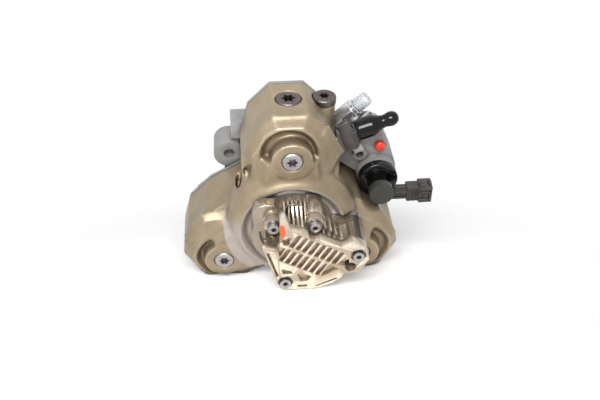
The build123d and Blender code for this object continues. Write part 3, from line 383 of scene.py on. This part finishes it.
phosphateLook = {"base": (78, 70, 68), "drift": (60, 52, 50), "speckle": (92, 82, 78),
                 "worn": (146, 138, 134), "hollowShade": (26, 22, 20), "rough": (0.32, 0.5), "metal": 0.8,
                 "bump": 0.25, "depth": 0.0003}
zincLook = {"base": (158, 154, 154), "drift": (134, 130, 130), "speckle": (140, 136, 136),
            "worn": (206, 204, 202), "hollowShade": (40, 36, 34), "rough": (0.26, 0.42), "metal": 0.85,
            "bump": 0.15, "depth": 0.0002}
bronzeLook = {"base": (176, 136, 84), "drift": (150, 110, 62), "speckle": (160, 120, 70),
              "worn": (216, 182, 130), "hollowShade": (70, 48, 26), "rough": (0.28, 0.44), "metal": 0.9,
              "bump": 0.12, "depth": 0.0002}
oliveLook = {"base": (48, 48, 43), "drift": (38, 38, 34), "speckle": (56, 56, 50), "worn": (96, 96, 88),
             "hollowShade": (14, 14, 12), "rough": (0.3, 0.46), "metal": 0.2, "bump": 0.15, "depth": 0.0002,
             "specular": 0.4}
blackPlasticLook = {"base": (10, 10, 10), "drift": (15, 15, 15), "speckle": (12, 12, 12),
                    "worn": (40, 39, 38), "hollowShade": (3, 3, 3), "rough": (0.16, 0.26), "metal": 0.0,
                    "bump": 0.12, "depth": 0.0002, "edge": 0.4, "specular": 0.35}
connectorLook = {"base": (26, 23, 23), "drift": (34, 30, 30), "speckle": (30, 27, 27),
                 "worn": (96, 90, 88), "hollowShade": (8, 7, 7), "rough": (0.26, 0.40), "metal": 0.0,
                 "bump": 0.2, "depth": 0.0002, "edge": 0.7, "specular": 0.3}
sealLook = {"base": (28, 28, 28), "drift": (38, 37, 36), "speckle": (32, 32, 32), "worn": (64, 62, 60),
            "hollowShade": (12, 12, 12), "rough": (0.5, 0.68), "metal": 0.0, "bump": 0.2, "depth": 0.0002,
            "edge": 0.3}
glossRubberLook = {"base": (5, 5, 5), "drift": (8, 8, 8), "speckle": (6, 6, 6), "worn": (18, 18, 19),
                   "hollowShade": (2, 2, 2), "rough": (0.1, 0.16), "metal": 0.0, "bump": 0.05, "depth": 0.0002,
                   "edge": 0.2, "specular": 0.3}
redLook = {"base": (226, 58, 36), "drift": (206, 44, 28), "speckle": (216, 52, 32),
           "worn": (244, 120, 90), "hollowShade": (120, 20, 12), "rough": (0.22, 0.34), "metal": 0.0,
           "bump": 0.1, "depth": 0.0002, "edge": 0.4}
unionLook = {"base": (214, 214, 218), "drift": (190, 190, 194), "speckle": (198, 198, 202),
             "worn": (244, 244, 246), "hollowShade": (40, 38, 38), "rough": (0.16, 0.26), "metal": 0.9,
             "bump": 0.08, "depth": 0.0002}
# painted shade: a dark grey for the flange's bar in front of the union, which is the grey casting in
# shade
elbowShadeLook = {"base": (84, 80, 79), "drift": (64, 61, 60), "speckle": (94, 90, 89),
             "worn": (150, 144, 144), "hollowShade": (30, 27, 27), "rough": (0.3, 0.44), "metal": 0.75,
             "bump": 0.2, "depth": 0.0003}
tinLook = {"base": (196, 190, 176), "drift": (178, 170, 150), "speckle": (184, 178, 162),
           "worn": (226, 222, 212), "hollowShade": (90, 84, 70), "rough": (0.2, 0.34), "metal": 0.95,
           "bump": 0.08, "depth": 0.0001}
clearLook = {"base": (244, 248, 250), "drift": (228, 234, 238), "driftScale": 60.0, "driftAmount": 0.7,
             "grain": 300.0, "swell": 60.0, "coarse": 0.6, "rough": (0.18, 0.34), "transmission": 0.6,
             "ior": 1.45, "bump": 0.15, "depth": 0.0004}


def makeClearPlastic(name, look):
    # cloudy see-through moulding
    material = bpy.data.materials.new(name)
    material.use_nodes = True
    tree = material.node_tree
    shader = tree.nodes["Principled BSDF"]
    skin = useGroup(tree, castSkin, Grain=look["grain"], Swell=look["swell"], Coarse=look["coarse"])
    drift = useGroup(tree, toneDrift, Base=tone(*look["base"]), Drift=tone(*look["drift"]),
                     Scale=look["driftScale"], Amount=look["driftAmount"])
    bump = addNode(tree, "ShaderNodeBump", values={"Strength": look["bump"], "Distance": look["depth"]})
    shader.inputs["Transmission Weight"].default_value = look["transmission"]
    shader.inputs["IOR"].default_value = look["ior"]
    link = tree.links.new
    link(drift.outputs["Colour"], shader.inputs["Base Color"])
    link(blendValue(tree, skin.outputs["Height"], *look["rough"]), shader.inputs["Roughness"])
    link(skin.outputs["Height"], bump.inputs["Height"])
    link(bump.outputs["Normal"], shader.inputs["Normal"])
    return material


goldForging = makeMetal("goldForging", {**goldForgingLook, "turnedHubAndSheen": hubTurnedAndSheen})
greyCasting = makeMetal("greyCasting", greyCastingLook)
coverCasting = makeMetal("coverCasting", coverLook)
turnedSteel = makeMetal("turnedSteel", steelLook)
darkPhosphate = makeMetal("darkPhosphate", phosphateLook)
zincPlate = makeMetal("zincPlate", zincLook)
bearingBronze = makeMetal("bearingBronze", bronzeLook)
oliveCoat = makeMetal("oliveCoat", oliveLook)
blackPlastic = makeMetal("blackPlastic", blackPlasticLook)
connectorPlastic = makeMetal("connectorPlastic", connectorLook)
sealRubber = makeMetal("sealRubber", sealLook)
glossRubber = makeMetal("glossRubber", glossRubberLook)
redPlastic = makeMetal("redPlastic", redLook)
tinContact = makeMetal("tinContact", tinLook)
brightUnion = makeMetal("brightUnion", unionLook)
elbowShadeGrey = makeMetal("elbowShadeGrey", elbowShadeLook)
clearPlastic = makeClearPlastic("clearCapPlastic", clearLook)

slotFinish = {
    "gold_steel": goldForging, "grey_iron": greyCasting, "cover_metal": coverCasting,
    "steel": turnedSteel, "dark_steel": darkPhosphate, "screw_steel": zincPlate,
    "bronze": bearingBronze, "seal_rubber": sealRubber, "black_rubber": glossRubber,
    "black_plastic": blackPlastic, "olive_steel": oliveCoat, "clear_plastic": clearPlastic,
    "red_plastic": redPlastic, "contact_tin": tinContact,
}


def dress(thing, material):
    # one finish all over
    thing.data.materials.clear()
    thing.data.materials.append(material)


for entry in frame["record"]["subparts"]:
    dress(nodes[entry["node"]], slotFinish[entry["material_slot"]])
print("pump: finishes made and assigned")


def selectNothing():
    # leaves edit mode and lets go of everything, the CAD nodes included
    if bpy.context.object and bpy.context.object.mode != "OBJECT":
        bpy.ops.object.mode_set(mode="OBJECT")
    bpy.ops.object.select_all(action="DESELECT")


def activate(thing):
    selectNothing()
    thing.select_set(True)
    bpy.context.view_layer.objects.active = thing


def applyModifier(thing, kind, **settings):
    # adds a modifier and applies it at once
    activate(thing)
    modifier = thing.modifiers.new(kind.lower(), kind)
    for key, value in settings.items():
        setattr(modifier, key, value)
    bpy.ops.object.modifier_apply(modifier=modifier.name)


# angles in degrees, the merge distance in metres, and the steps in a broken edge
edgeWork = {"merge": 0.00001, "flatAngle": 1.0, "castAngle": 28, "madeAngle": 30, "smoothAngle": 40,
            "castSteps": 2, "madeSteps": 3}


def copyNode(nodeName, pieceName):
    # a merged copy of a CAD node, ready for modelling
    source = nodes[nodeName]
    piece = bpy.data.objects.new(pieceName, source.data.copy())
    bpy.context.scene.collection.objects.link(piece)
    activate(piece)
    bpy.ops.object.mode_set(mode="EDIT")
    bpy.ops.mesh.select_all(action="SELECT")
    bpy.ops.mesh.remove_doubles(threshold=edgeWork["merge"])
    bpy.ops.object.mode_set(mode="OBJECT")
    return piece


def smoothByAngle(thing):
    activate(thing)
    bpy.ops.object.shade_smooth_by_angle(angle=math.radians(edgeWork["smoothAngle"]))


def settle(thing):
    # the place goes into the mesh, the object stays at the origin
    activate(thing)
    bpy.ops.object.transform_apply(location=True, rotation=True, scale=True)


def softenNode(nodeName, pieceName, body, width):
    # a copy of a CAD node whose sharp edges are broken, as a casting's or a moulding's are
    piece = copyNode(nodeName, pieceName)
    activate(piece)
    bpy.ops.object.mode_set(mode="EDIT")
    bpy.ops.mesh.select_all(action="SELECT")
    bpy.ops.mesh.dissolve_limited(angle_limit=math.radians(edgeWork["flatAngle"]))
    bpy.ops.object.mode_set(mode="OBJECT")
    applyModifier(piece, "BEVEL", width=width * mm, segments=edgeWork["castSteps"],
                  limit_method="ANGLE", angle_limit=math.radians(edgeWork["castAngle"]),
                  use_clamp_overlap=True, loop_slide=False)
    smoothByAngle(piece)
    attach(piece, body)
    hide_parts(nodeName)
    return piece


def orient(thing, base, direction):
    # stands a piece made along Z at its base, pointing along the direction
    turn = Vector(direction).to_track_quat("Z", "Y")
    thing.rotation_euler = turn.to_euler()
    thing.location = [value * mm for value in base]
    settle(thing)


def faceOutwards(thing):
    activate(thing)
    bpy.ops.object.mode_set(mode="EDIT")
    bpy.ops.mesh.select_all(action="SELECT")
    bpy.ops.mesh.normals_make_consistent(inside=False)
    bpy.ops.object.mode_set(mode="OBJECT")


def turnPiece(name, rings, sides=56):
    # a turned form along Z, from (radius, height) rings in millimetres
    selectNothing()
    bpy.ops.mesh.primitive_circle_add(vertices=sides, radius=rings[0][0] * mm, fill_type="NGON",
                                      location=(0, 0, rings[0][1] * mm))
    thing = bpy.context.object
    thing.name = name
    settle(thing)
    bpy.ops.object.mode_set(mode="EDIT")
    bpy.ops.mesh.select_all(action="SELECT")
    for (nearRadius, nearHeight), (farRadius, farHeight) in zip(rings, rings[1:]):
        rise = (farHeight - nearHeight) * mm
        bpy.ops.mesh.extrude_region_move(TRANSFORM_OT_translate={"value": (0, 0, rise)})
        stretch = farRadius / nearRadius
        bpy.ops.transform.resize(value=(stretch, stretch, 1), center_override=(0, 0, farHeight * mm))
    bpy.ops.object.mode_set(mode="OBJECT")
    faceOutwards(thing)
    return thing


def prismPiece(name, outline, startY, endY):
    # a straight block along Y, from (x, z) points in millimetres
    selectNothing()
    bpy.ops.mesh.primitive_circle_add(vertices=len(outline), radius=1.0, fill_type="NGON")
    thing = bpy.context.object
    thing.name = name
    for corner, (x, z) in zip(thing.data.vertices, outline):
        corner.co = (x * mm, startY * mm, z * mm)
    bpy.ops.object.mode_set(mode="EDIT")
    bpy.ops.mesh.select_all(action="SELECT")
    bpy.ops.mesh.extrude_region_move(TRANSFORM_OT_translate={"value": (0, (endY - startY) * mm, 0)})
    bpy.ops.object.mode_set(mode="OBJECT")
    faceOutwards(thing)
    return thing


def boxPiece(name, low, high):
    # a block between two corners, in millimetres
    selectNothing()
    middle = [(a + b) / 2 * mm for a, b in zip(low, high)]
    bpy.ops.mesh.primitive_cube_add(size=1.0, location=middle)
    thing = bpy.context.object
    thing.name = name
    thing.scale = [(b - a) * mm for a, b in zip(low, high)]
    settle(thing)
    return thing


def subtract(piece, cutter):
    # takes the cutter out of the piece and throws it away
    applyModifier(piece, "BOOLEAN", operation="DIFFERENCE", object=cutter, solver="EXACT")
    bpy.data.objects.remove(cutter)


def finishPiece(thing, material, body, width=0):
    # broken edges where a width is given, then shading, finish and body
    if width:
        applyModifier(thing, "BEVEL", width=width * mm, segments=edgeWork["madeSteps"],
                      limit_method="ANGLE", angle_limit=math.radians(edgeWork["madeAngle"]),
                      use_clamp_overlap=True)
    smoothByAngle(thing)
    dress(thing, material)
    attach(thing, body)
    return thing


housingForge = {"voxel": 1.5, "rounds": 6, "factor": 0.5}
valleySlot = {"centre": (-46.0, -64.0, 30.0), "direction": (0.0, -0.782, 0.623), "turn": -11,
              "sides": 24, "size": (2.7, 8.8, 21.0)}
valleyPocket = {"centre": (-37.4, -82.3, 55.3), "direction": (-0.85, -0.52, -0.04), "turn": -31,
                "sides": 3, "size": (5.0, 16.0, 2.6)}


def cutValley(piece, hollow):
    # a blind pocket sunk in the valley between two heads
    selectNothing()
    bpy.ops.mesh.primitive_cylinder_add(vertices=hollow["sides"], radius=1.0, depth=2.0)
    cutter = bpy.context.object
    cutter.scale = [value * mm for value in hollow["size"]]
    cutter.rotation_euler = (0, 0, math.radians(hollow["turn"]))
    settle(cutter)
    orient(cutter, hollow["centre"], hollow["direction"])
    subtract(piece, cutter)


def forgeHousing():
    # the housing's own form with every edge rounded as a forging's is
    piece = copyNode("pump_housing", "forgedHousing")
    cutValley(piece, valleySlot)
    cutValley(piece, valleyPocket)
    applyModifier(piece, "REMESH", mode="VOXEL", voxel_size=housingForge["voxel"] * mm)
    applyModifier(piece, "SMOOTH", factor=housingForge["factor"], iterations=housingForge["rounds"])
    dress(piece, goldForging)
    activate(piece)
    bpy.ops.object.shade_smooth()
    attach(piece, "pump")
    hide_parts("pump_housing")
    print("pump: housing forged,", len(piece.data.polygons), "faces")


forgeHousing()


# node: (piece, body, edge width in millimetres, slot)
softened = {
    "gear_pump_cover": ("ribbedCover", "pump", 0.45, "cover_metal"),
    "front_flange": ("flangeCasting", "pump", 0.9, "grey_iron"),
    "valve_body": ("solenoidMoulding", "pump", 0.5, "olive_steel"),
    "valve_flange": ("valveCollar", "pump", 0.6, "black_plastic"),
}
for nodeName, (pieceName, bodyName, edgeWidth, slotName) in softened.items():
    made = softenNode(nodeName, pieceName, bodyName, edgeWidth)
    print("pump:", pieceName, len(made.data.polygons), "faces")


# turned forms are (radius, height) rings along an axis, in millimetres
unionAxis = {"base": (52.2, -25.0, 66.2), "direction": (0.72, 0.0, 0.69)}
unionHexagon = {"sides": 6, "edge": 0.3,
                "rings": [(9.8, -9.0), (10.6, -8.2), (10.6, 12.6), (9.8, 13.4)]}
unionNeck = {"rings": [(7.4, 13.0), (8.2, 13.3), (8.2, 16.0), (7.6, 16.6), (5.2, 16.8), (5.0, 23.0),
                       (4.2, 24.2), (2.0, 24.2), (1.8, 20.0)]}
clearCap = {"wall": 0.5, "rings": [(6.2, 17.0), (6.6, 17.6), (6.4, 27.6), (6.1, 29.2), (5.2, 30.0),
                                   (1.5, 30.0)]}
elbow = {"rear": -59.5, "front": -54.5, "edge": 0.9,
         "outline": [(42.5, 79.5), (50.5, 85.0), (56.5, 77.0), (58.5, 67.0), (64.0, 60.0), (62.0, 55.0),
                     (52.0, 53.0), (46.5, 66.0)]}
spannerRoom = {"size": (23, 33, 32), "shift": (5.0, -14.5, 4.8)}


def placeOnUnion(thing):
    orient(thing, unionAxis["base"], unionAxis["direction"])


def openCasting():
    # room in the flange's block for the union's hexagon
    casting = bpy.data.objects["flangeCasting"]
    half = [size / 2 for size in spannerRoom["size"]]
    cutter = boxPiece("spannerRoom", [-side for side in half], half)
    base = [a + b for a, b in zip(unionAxis["base"], spannerRoom["shift"])]
    orient(cutter, base, unionAxis["direction"])
    subtract(casting, cutter)
    smoothByAngle(casting)


def makeUnion():
    shank = turnPiece("unionHexagon", unionHexagon["rings"], unionHexagon["sides"])
    placeOnUnion(shank)
    finishPiece(shank, brightUnion, "pump", unionHexagon["edge"])
    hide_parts("delivery_union")
    neck = turnPiece("unionNeck", unionNeck["rings"])
    placeOnUnion(neck)
    finishPiece(neck, brightUnion, "pump")


def makeClearCap():
    cap = turnPiece("clearUnionCap", clearCap["rings"])
    applyModifier(cap, "SOLIDIFY", thickness=clearCap["wall"] * mm, offset=-1.0)
    placeOnUnion(cap)
    finishPiece(cap, clearPlastic, "clear_cap_body")
    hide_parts("clear_cap")


def makeElbow():
    # block in front of the union, dark grey as painted shade on the flange's bar
    block = prismPiece("elbowBlock", elbow["outline"], elbow["rear"], elbow["front"])
    finishPiece(block, elbowShadeGrey, "pump", elbow["edge"])


openCasting()
makeUnion()
makeClearCap()
makeElbow()
print("pump: delivery union, cap and elbow made")


supplyCap = {"base": (61.4, -52.5, 70.2), "direction": (0.935, 0.0, 0.355),
             "rings": [(8.6, 0.0), (9.4, 0.4), (9.7, 1.2), (9.7, 13.0), (9.4, 15.0), (8.6, 17.4),
                       (7.4, 19.8), (6.3, 22.2), (5.7, 24.4), (5.6, 25.8), (5.9, 27.4), (6.4, 29.2),
                       (6.7, 31.0), (6.6, 32.8), (6.0, 35.0), (4.8, 36.8), (3.0, 38.1), (1.0, 38.6)]}


def makeSupplyCap():
    # moulded rubber cap with a pull knob
    cap = turnPiece("supplyCapMoulding", supplyCap["rings"])
    orient(cap, supplyCap["base"], supplyCap["direction"])
    applyModifier(cap, "SUBSURF", levels=1, render_levels=1)
    finishPiece(cap, glossRubber, "supply_cap_body")
    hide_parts("supply_cap")


makeSupplyCap()


pumpShoulder = {"rear": -116.0, "front": -106.0, "depth": 5.0, "past": 2.0, "edge": 1.1,
                "outline": [(-36.0, 33.5), (-32.7, 39.7), (-24.8, 42.4), (-16.5, 41.3), (-16.0, 21.6),
                            (-21.6, -5.6), (-26.2, -10.3), (-29.7, -4.0), (-31.5, 9.1), (-35.4, 22.0)],
                "hollow": [(-30.2, 12.6), (-23.7, 14.4), (-21.8, 7.4), (-22.6, -2.5), (-27.0, -3.1),
                           (-29.4, 4.1)]}


def makeShoulder():
    # left shoulder of the gear pump's body, with the hollow behind it
    rear = pumpShoulder["rear"]
    block = prismPiece("pumpShoulder", pumpShoulder["outline"], rear, pumpShoulder["front"])
    cutter = prismPiece("shoulderCutter", pumpShoulder["hollow"], rear - pumpShoulder["past"],
                        rear + pumpShoulder["depth"])
    subtract(block, cutter)
    finishPiece(block, coverCasting, "pump", pumpShoulder["edge"])


makeShoulder()


redPlug = {"base": (85.0, -40.0, 45.5), "direction": (0, -1, 0),
           "rings": [(3.6, 0.0), (4.2, 1.2), (4.5, 2.4), (4.7, 4.0), (4.6, 4.9), (4.0, 5.8), (2.8, 6.5),
                     (1.2, 6.8)]}


def makeRedPlug():
    # transit plug with a domed face
    plug = turnPiece("domedRedPlug", redPlug["rings"])
    orient(plug, redPlug["base"], redPlug["direction"])
    finishPiece(plug, redPlastic, "red_plug_body")
    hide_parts("red_plug")


makeRedPlug()


valveCollar = {"base": (82.5, -52.6, 18.0), "direction": (0, -1, 0), "sides": 72,
               "rings": [(17.9, 0.0), (18.4, 0.4), (18.4, 6.6), (17.9, 7.4), (16.8, 7.9), (13.6, 7.9),
                         (13.2, 8.6), (9.0, 8.6)]}


def makeCollar():
    # stepped black ring round the metering valve
    ring = turnPiece("valveCollarRing", valveCollar["rings"], valveCollar["sides"])
    orient(ring, valveCollar["base"], valveCollar["direction"])
    finishPiece(ring, blackPlastic, "pump")
    dress(nodes["valve_screws"], blackPlastic)
    # the supply fitting takes the same dark grey as the elbow's painted shade
    dress(nodes["supply_fitting"], elbowShadeGrey)


makeCollar()


armEdge = 0.35
armDetails = {
    "armRailLow": ((95.0, -79.6, 10.6), (107.5, -78.2, 12.6)),
    "armRailHigh": ((95.0, -79.6, 17.4), (107.5, -78.2, 19.4)),
    "armTopRail": ((95.0, -76.0, 19.6), (107.5, -72.0, 20.9)),
    "armRibA": ((108.2, -80.5, 8.2), (109.4, -79.4, 21.8)),
    "armRibB": ((112.0, -80.5, 8.2), (113.2, -79.4, 21.8)),
    "armRibC": ((115.6, -80.5, 8.2), (116.8, -79.4, 21.8)),
    "latchLow": ((118.5, -82.6, 10.4), (127.6, -80.6, 11.8)),
    "latchHigh": ((118.5, -82.6, 18.2), (127.6, -80.6, 19.6)),
    "latchBar": ((125.8, -83.4, 10.4), (127.8, -80.6, 19.6)),
    "hookLow": ((126.2, -77.0, 4.6), (128.8, -71.0, 7.0)),
    "hookHigh": ((126.2, -77.0, 23.0), (128.8, -71.0, 25.4)),
    "shroudRidge": ((117.4, -79.0, 23.2), (119.0, -69.0, 24.6)),
}


def makeArmDetails():
    # rails, ribs, latch and hooks of the plug-in arm
    for name, (low, high) in armDetails.items():
        finishPiece(boxPiece(name, low, high), connectorPlastic, "pump", armEdge)


makeArmDetails()
print("pump: caps, collar and arm details made")


# where the arm's plastic starts along X, and the black ring's along Y
plasticFrom = {"arm": 0.0945, "ring": -0.0725}


def colourArm():
    # dark plastic on the arm and the ring, the solenoid's own coat between them
    moulding = bpy.data.objects["solenoidMoulding"].data
    moulding.materials.append(connectorPlastic)
    moulding.materials.append(blackPlastic)
    for face in moulding.polygons:
        if face.center.x > plasticFrom["arm"]:
            face.material_index = 1
        elif face.center.y > plasticFrom["ring"]:
            face.material_index = 2


colourArm()


plainWhite = (1.0, 1.0, 1.0, 1.0)
floorLook = {"size": 6.0, "tilt": -27.47, "touch": (0.0, -0.1425, -0.0350), "shadowFrom": 0.16,
             "shadowTo": 0.34, "paper": (0.97, 0.97, 0.97, 1.0), "glow": 0.22}


def layFloor():
    # the pump lies with its gear pump down, so its floor is tilted in the pump's own frame
    selectNothing()
    bpy.ops.mesh.primitive_plane_add(size=floorLook["size"], location=floorLook["touch"],
                                     rotation=(math.radians(floorLook["tilt"]), 0, 0))
    floor = bpy.context.object
    floor.name = "studioFloor"
    settle(floor)
    material = bpy.data.materials.new("floorPaper")
    material.use_nodes = True
    tree = material.node_tree
    paper = tree.nodes["Principled BSDF"]
    paper.inputs["Base Color"].default_value = floorLook["paper"]
    paper.inputs["Roughness"].default_value = 1.0
    paper.inputs["Emission Color"].default_value = plainWhite
    paper.inputs["Emission Strength"].default_value = floorLook["glow"]
    output = tree.nodes["Material Output"]
    white = addNode(tree, "ShaderNodeEmission", values={"Color": plainWhite, "Strength": 1.0})
    place = addNode(tree, "ShaderNodeTexCoord")
    reach = addNode(tree, "ShaderNodeVectorMath", {"operation": "LENGTH"})
    fade = addNode(tree, "ShaderNodeMapRange", {"interpolation_type": "SMOOTHSTEP"},
                   {"From Min": floorLook["shadowFrom"], "From Max": floorLook["shadowTo"]})
    far = addNode(tree, "ShaderNodeMixShader")
    clear = addNode(tree, "ShaderNodeBsdfTransparent")
    side = addNode(tree, "ShaderNodeNewGeometry")
    mix = addNode(tree, "ShaderNodeMixShader")
    link = tree.links.new
    link(place.outputs["Object"], reach.inputs[0])
    link(reach.outputs["Value"], fade.inputs["Value"])
    link(fade.outputs["Result"], far.inputs[0])
    link(paper.outputs["BSDF"], far.inputs[1])
    link(white.outputs["Emission"], far.inputs[2])
    link(side.outputs["Backfacing"], mix.inputs[0])
    link(far.outputs["Shader"], mix.inputs[1])
    link(clear.outputs["BSDF"], mix.inputs[2])
    link(mix.outputs["Shader"], output.inputs["Surface"])
    floor.data.materials.append(material)


# grey by how far a direction points up from the floor
worldLight = {"up": (0.0, 0.461, 0.887), "greys": [(0.35, 0.20), (0.52, 0.40), (0.85, 0.46)],
              "strength": 0.66}


def lightWorld():
    # a pale ceiling over grey walls lights the pump, and the camera, metal and clear plastic see white
    world = bpy.data.worlds.new("studioWorld")
    bpy.context.scene.world = world
    world.use_nodes = True
    tree = world.node_tree
    place = addNode(tree, "ShaderNodeTexCoord")
    height = addNode(tree, "ShaderNodeVectorMath", {"operation": "DOT_PRODUCT"})
    height.inputs[1].default_value = worldLight["up"]
    span = addNode(tree, "ShaderNodeMapRange", values={"From Min": -1.0, "From Max": 1.0})
    shade = rampNode(tree, worldLight["greys"])
    dim = tree.nodes["Background"]
    dim.inputs["Strength"].default_value = worldLight["strength"]
    bright = addNode(tree, "ShaderNodeBackground", values={"Color": plainWhite, "Strength": 1.0})
    ray = addNode(tree, "ShaderNodeLightPath")
    mirrored = addNode(tree, "ShaderNodeMath", {"operation": "MAXIMUM"})
    seen = addNode(tree, "ShaderNodeMath", {"operation": "MAXIMUM"})
    mix = addNode(tree, "ShaderNodeMixShader")
    link = tree.links.new
    link(place.outputs["Generated"], height.inputs[0])
    link(height.outputs["Value"], span.inputs["Value"])
    link(span.outputs["Result"], shade.inputs["Fac"])
    link(shade.outputs["Color"], dim.inputs["Color"])
    link(ray.outputs["Is Glossy Ray"], mirrored.inputs[0])
    link(ray.outputs["Is Transmission Ray"], mirrored.inputs[1])
    link(ray.outputs["Is Camera Ray"], seen.inputs[0])
    link(mirrored.outputs[0], seen.inputs[1])
    link(seen.outputs[0], mix.inputs[0])
    link(dim.outputs["Background"], mix.inputs[1])
    link(bright.outputs["Background"], mix.inputs[2])
    link(mix.outputs["Shader"], tree.nodes["World Output"].inputs["Surface"])


lamps = {
    "keyLamp": {"place": (-0.12, -0.66, 0.82), "target": (0.0, -0.06, 0.05), "size": (0.6, 0.4),
                "power": 14.5},
    "fillLamp": {"place": (-0.75, -0.5, 0.55), "target": (0.0, -0.06, 0.0), "size": (0.5, 0.5),
                 "power": 0.4},
    "backLamp": {"place": (0.1, 0.55, 0.8), "target": (0.0, -0.06, 0.0), "size": (0.9, 0.5),
                 "power": 0.5},
}


def aimed(place, target):
    # turns a lamp or a camera from its place to its target
    aim = Vector(target) - Vector(place)
    return aim.to_track_quat("-Z", "Y")


def addLamps():
    for name, lamp in lamps.items():
        data = bpy.data.lights.new(name, "AREA")
        data.shape = "RECTANGLE"
        data.size, data.size_y = lamp["size"]
        data.energy = lamp["power"]
        softbox = bpy.data.objects.new(name, data)
        softbox.location = lamp["place"]
        softbox.rotation_euler = aimed(lamp["place"], lamp["target"]).to_euler()
        bpy.context.scene.collection.objects.link(softbox)


cameraSetting = {"place": (-0.0412, -0.6308, 0.4811), "target": (0.00644, -0.0990, 0.0321),
                 "lens": 48.0, "sensor": 36.0, "roll": 0.29}


def setCamera():
    data = bpy.data.cameras.new("studioCamera")
    data.lens = cameraSetting["lens"]
    data.sensor_width = cameraSetting["sensor"]
    camera = bpy.data.objects.new("studioCamera", data)
    place = cameraSetting["place"]
    turn = aimed(place, cameraSetting["target"]).to_matrix().to_4x4()
    roll = Matrix.Rotation(math.radians(cameraSetting["roll"]), 4, "Z")
    camera.matrix_world = Matrix.Translation(place) @ turn @ roll
    bpy.context.scene.collection.objects.link(camera)
    bpy.context.scene.camera = camera


layFloor()
lightWorld()
addLamps()
setCamera()
bpy.context.scene.view_settings.view_transform = "Standard"
print("pump: floor, light and camera set")
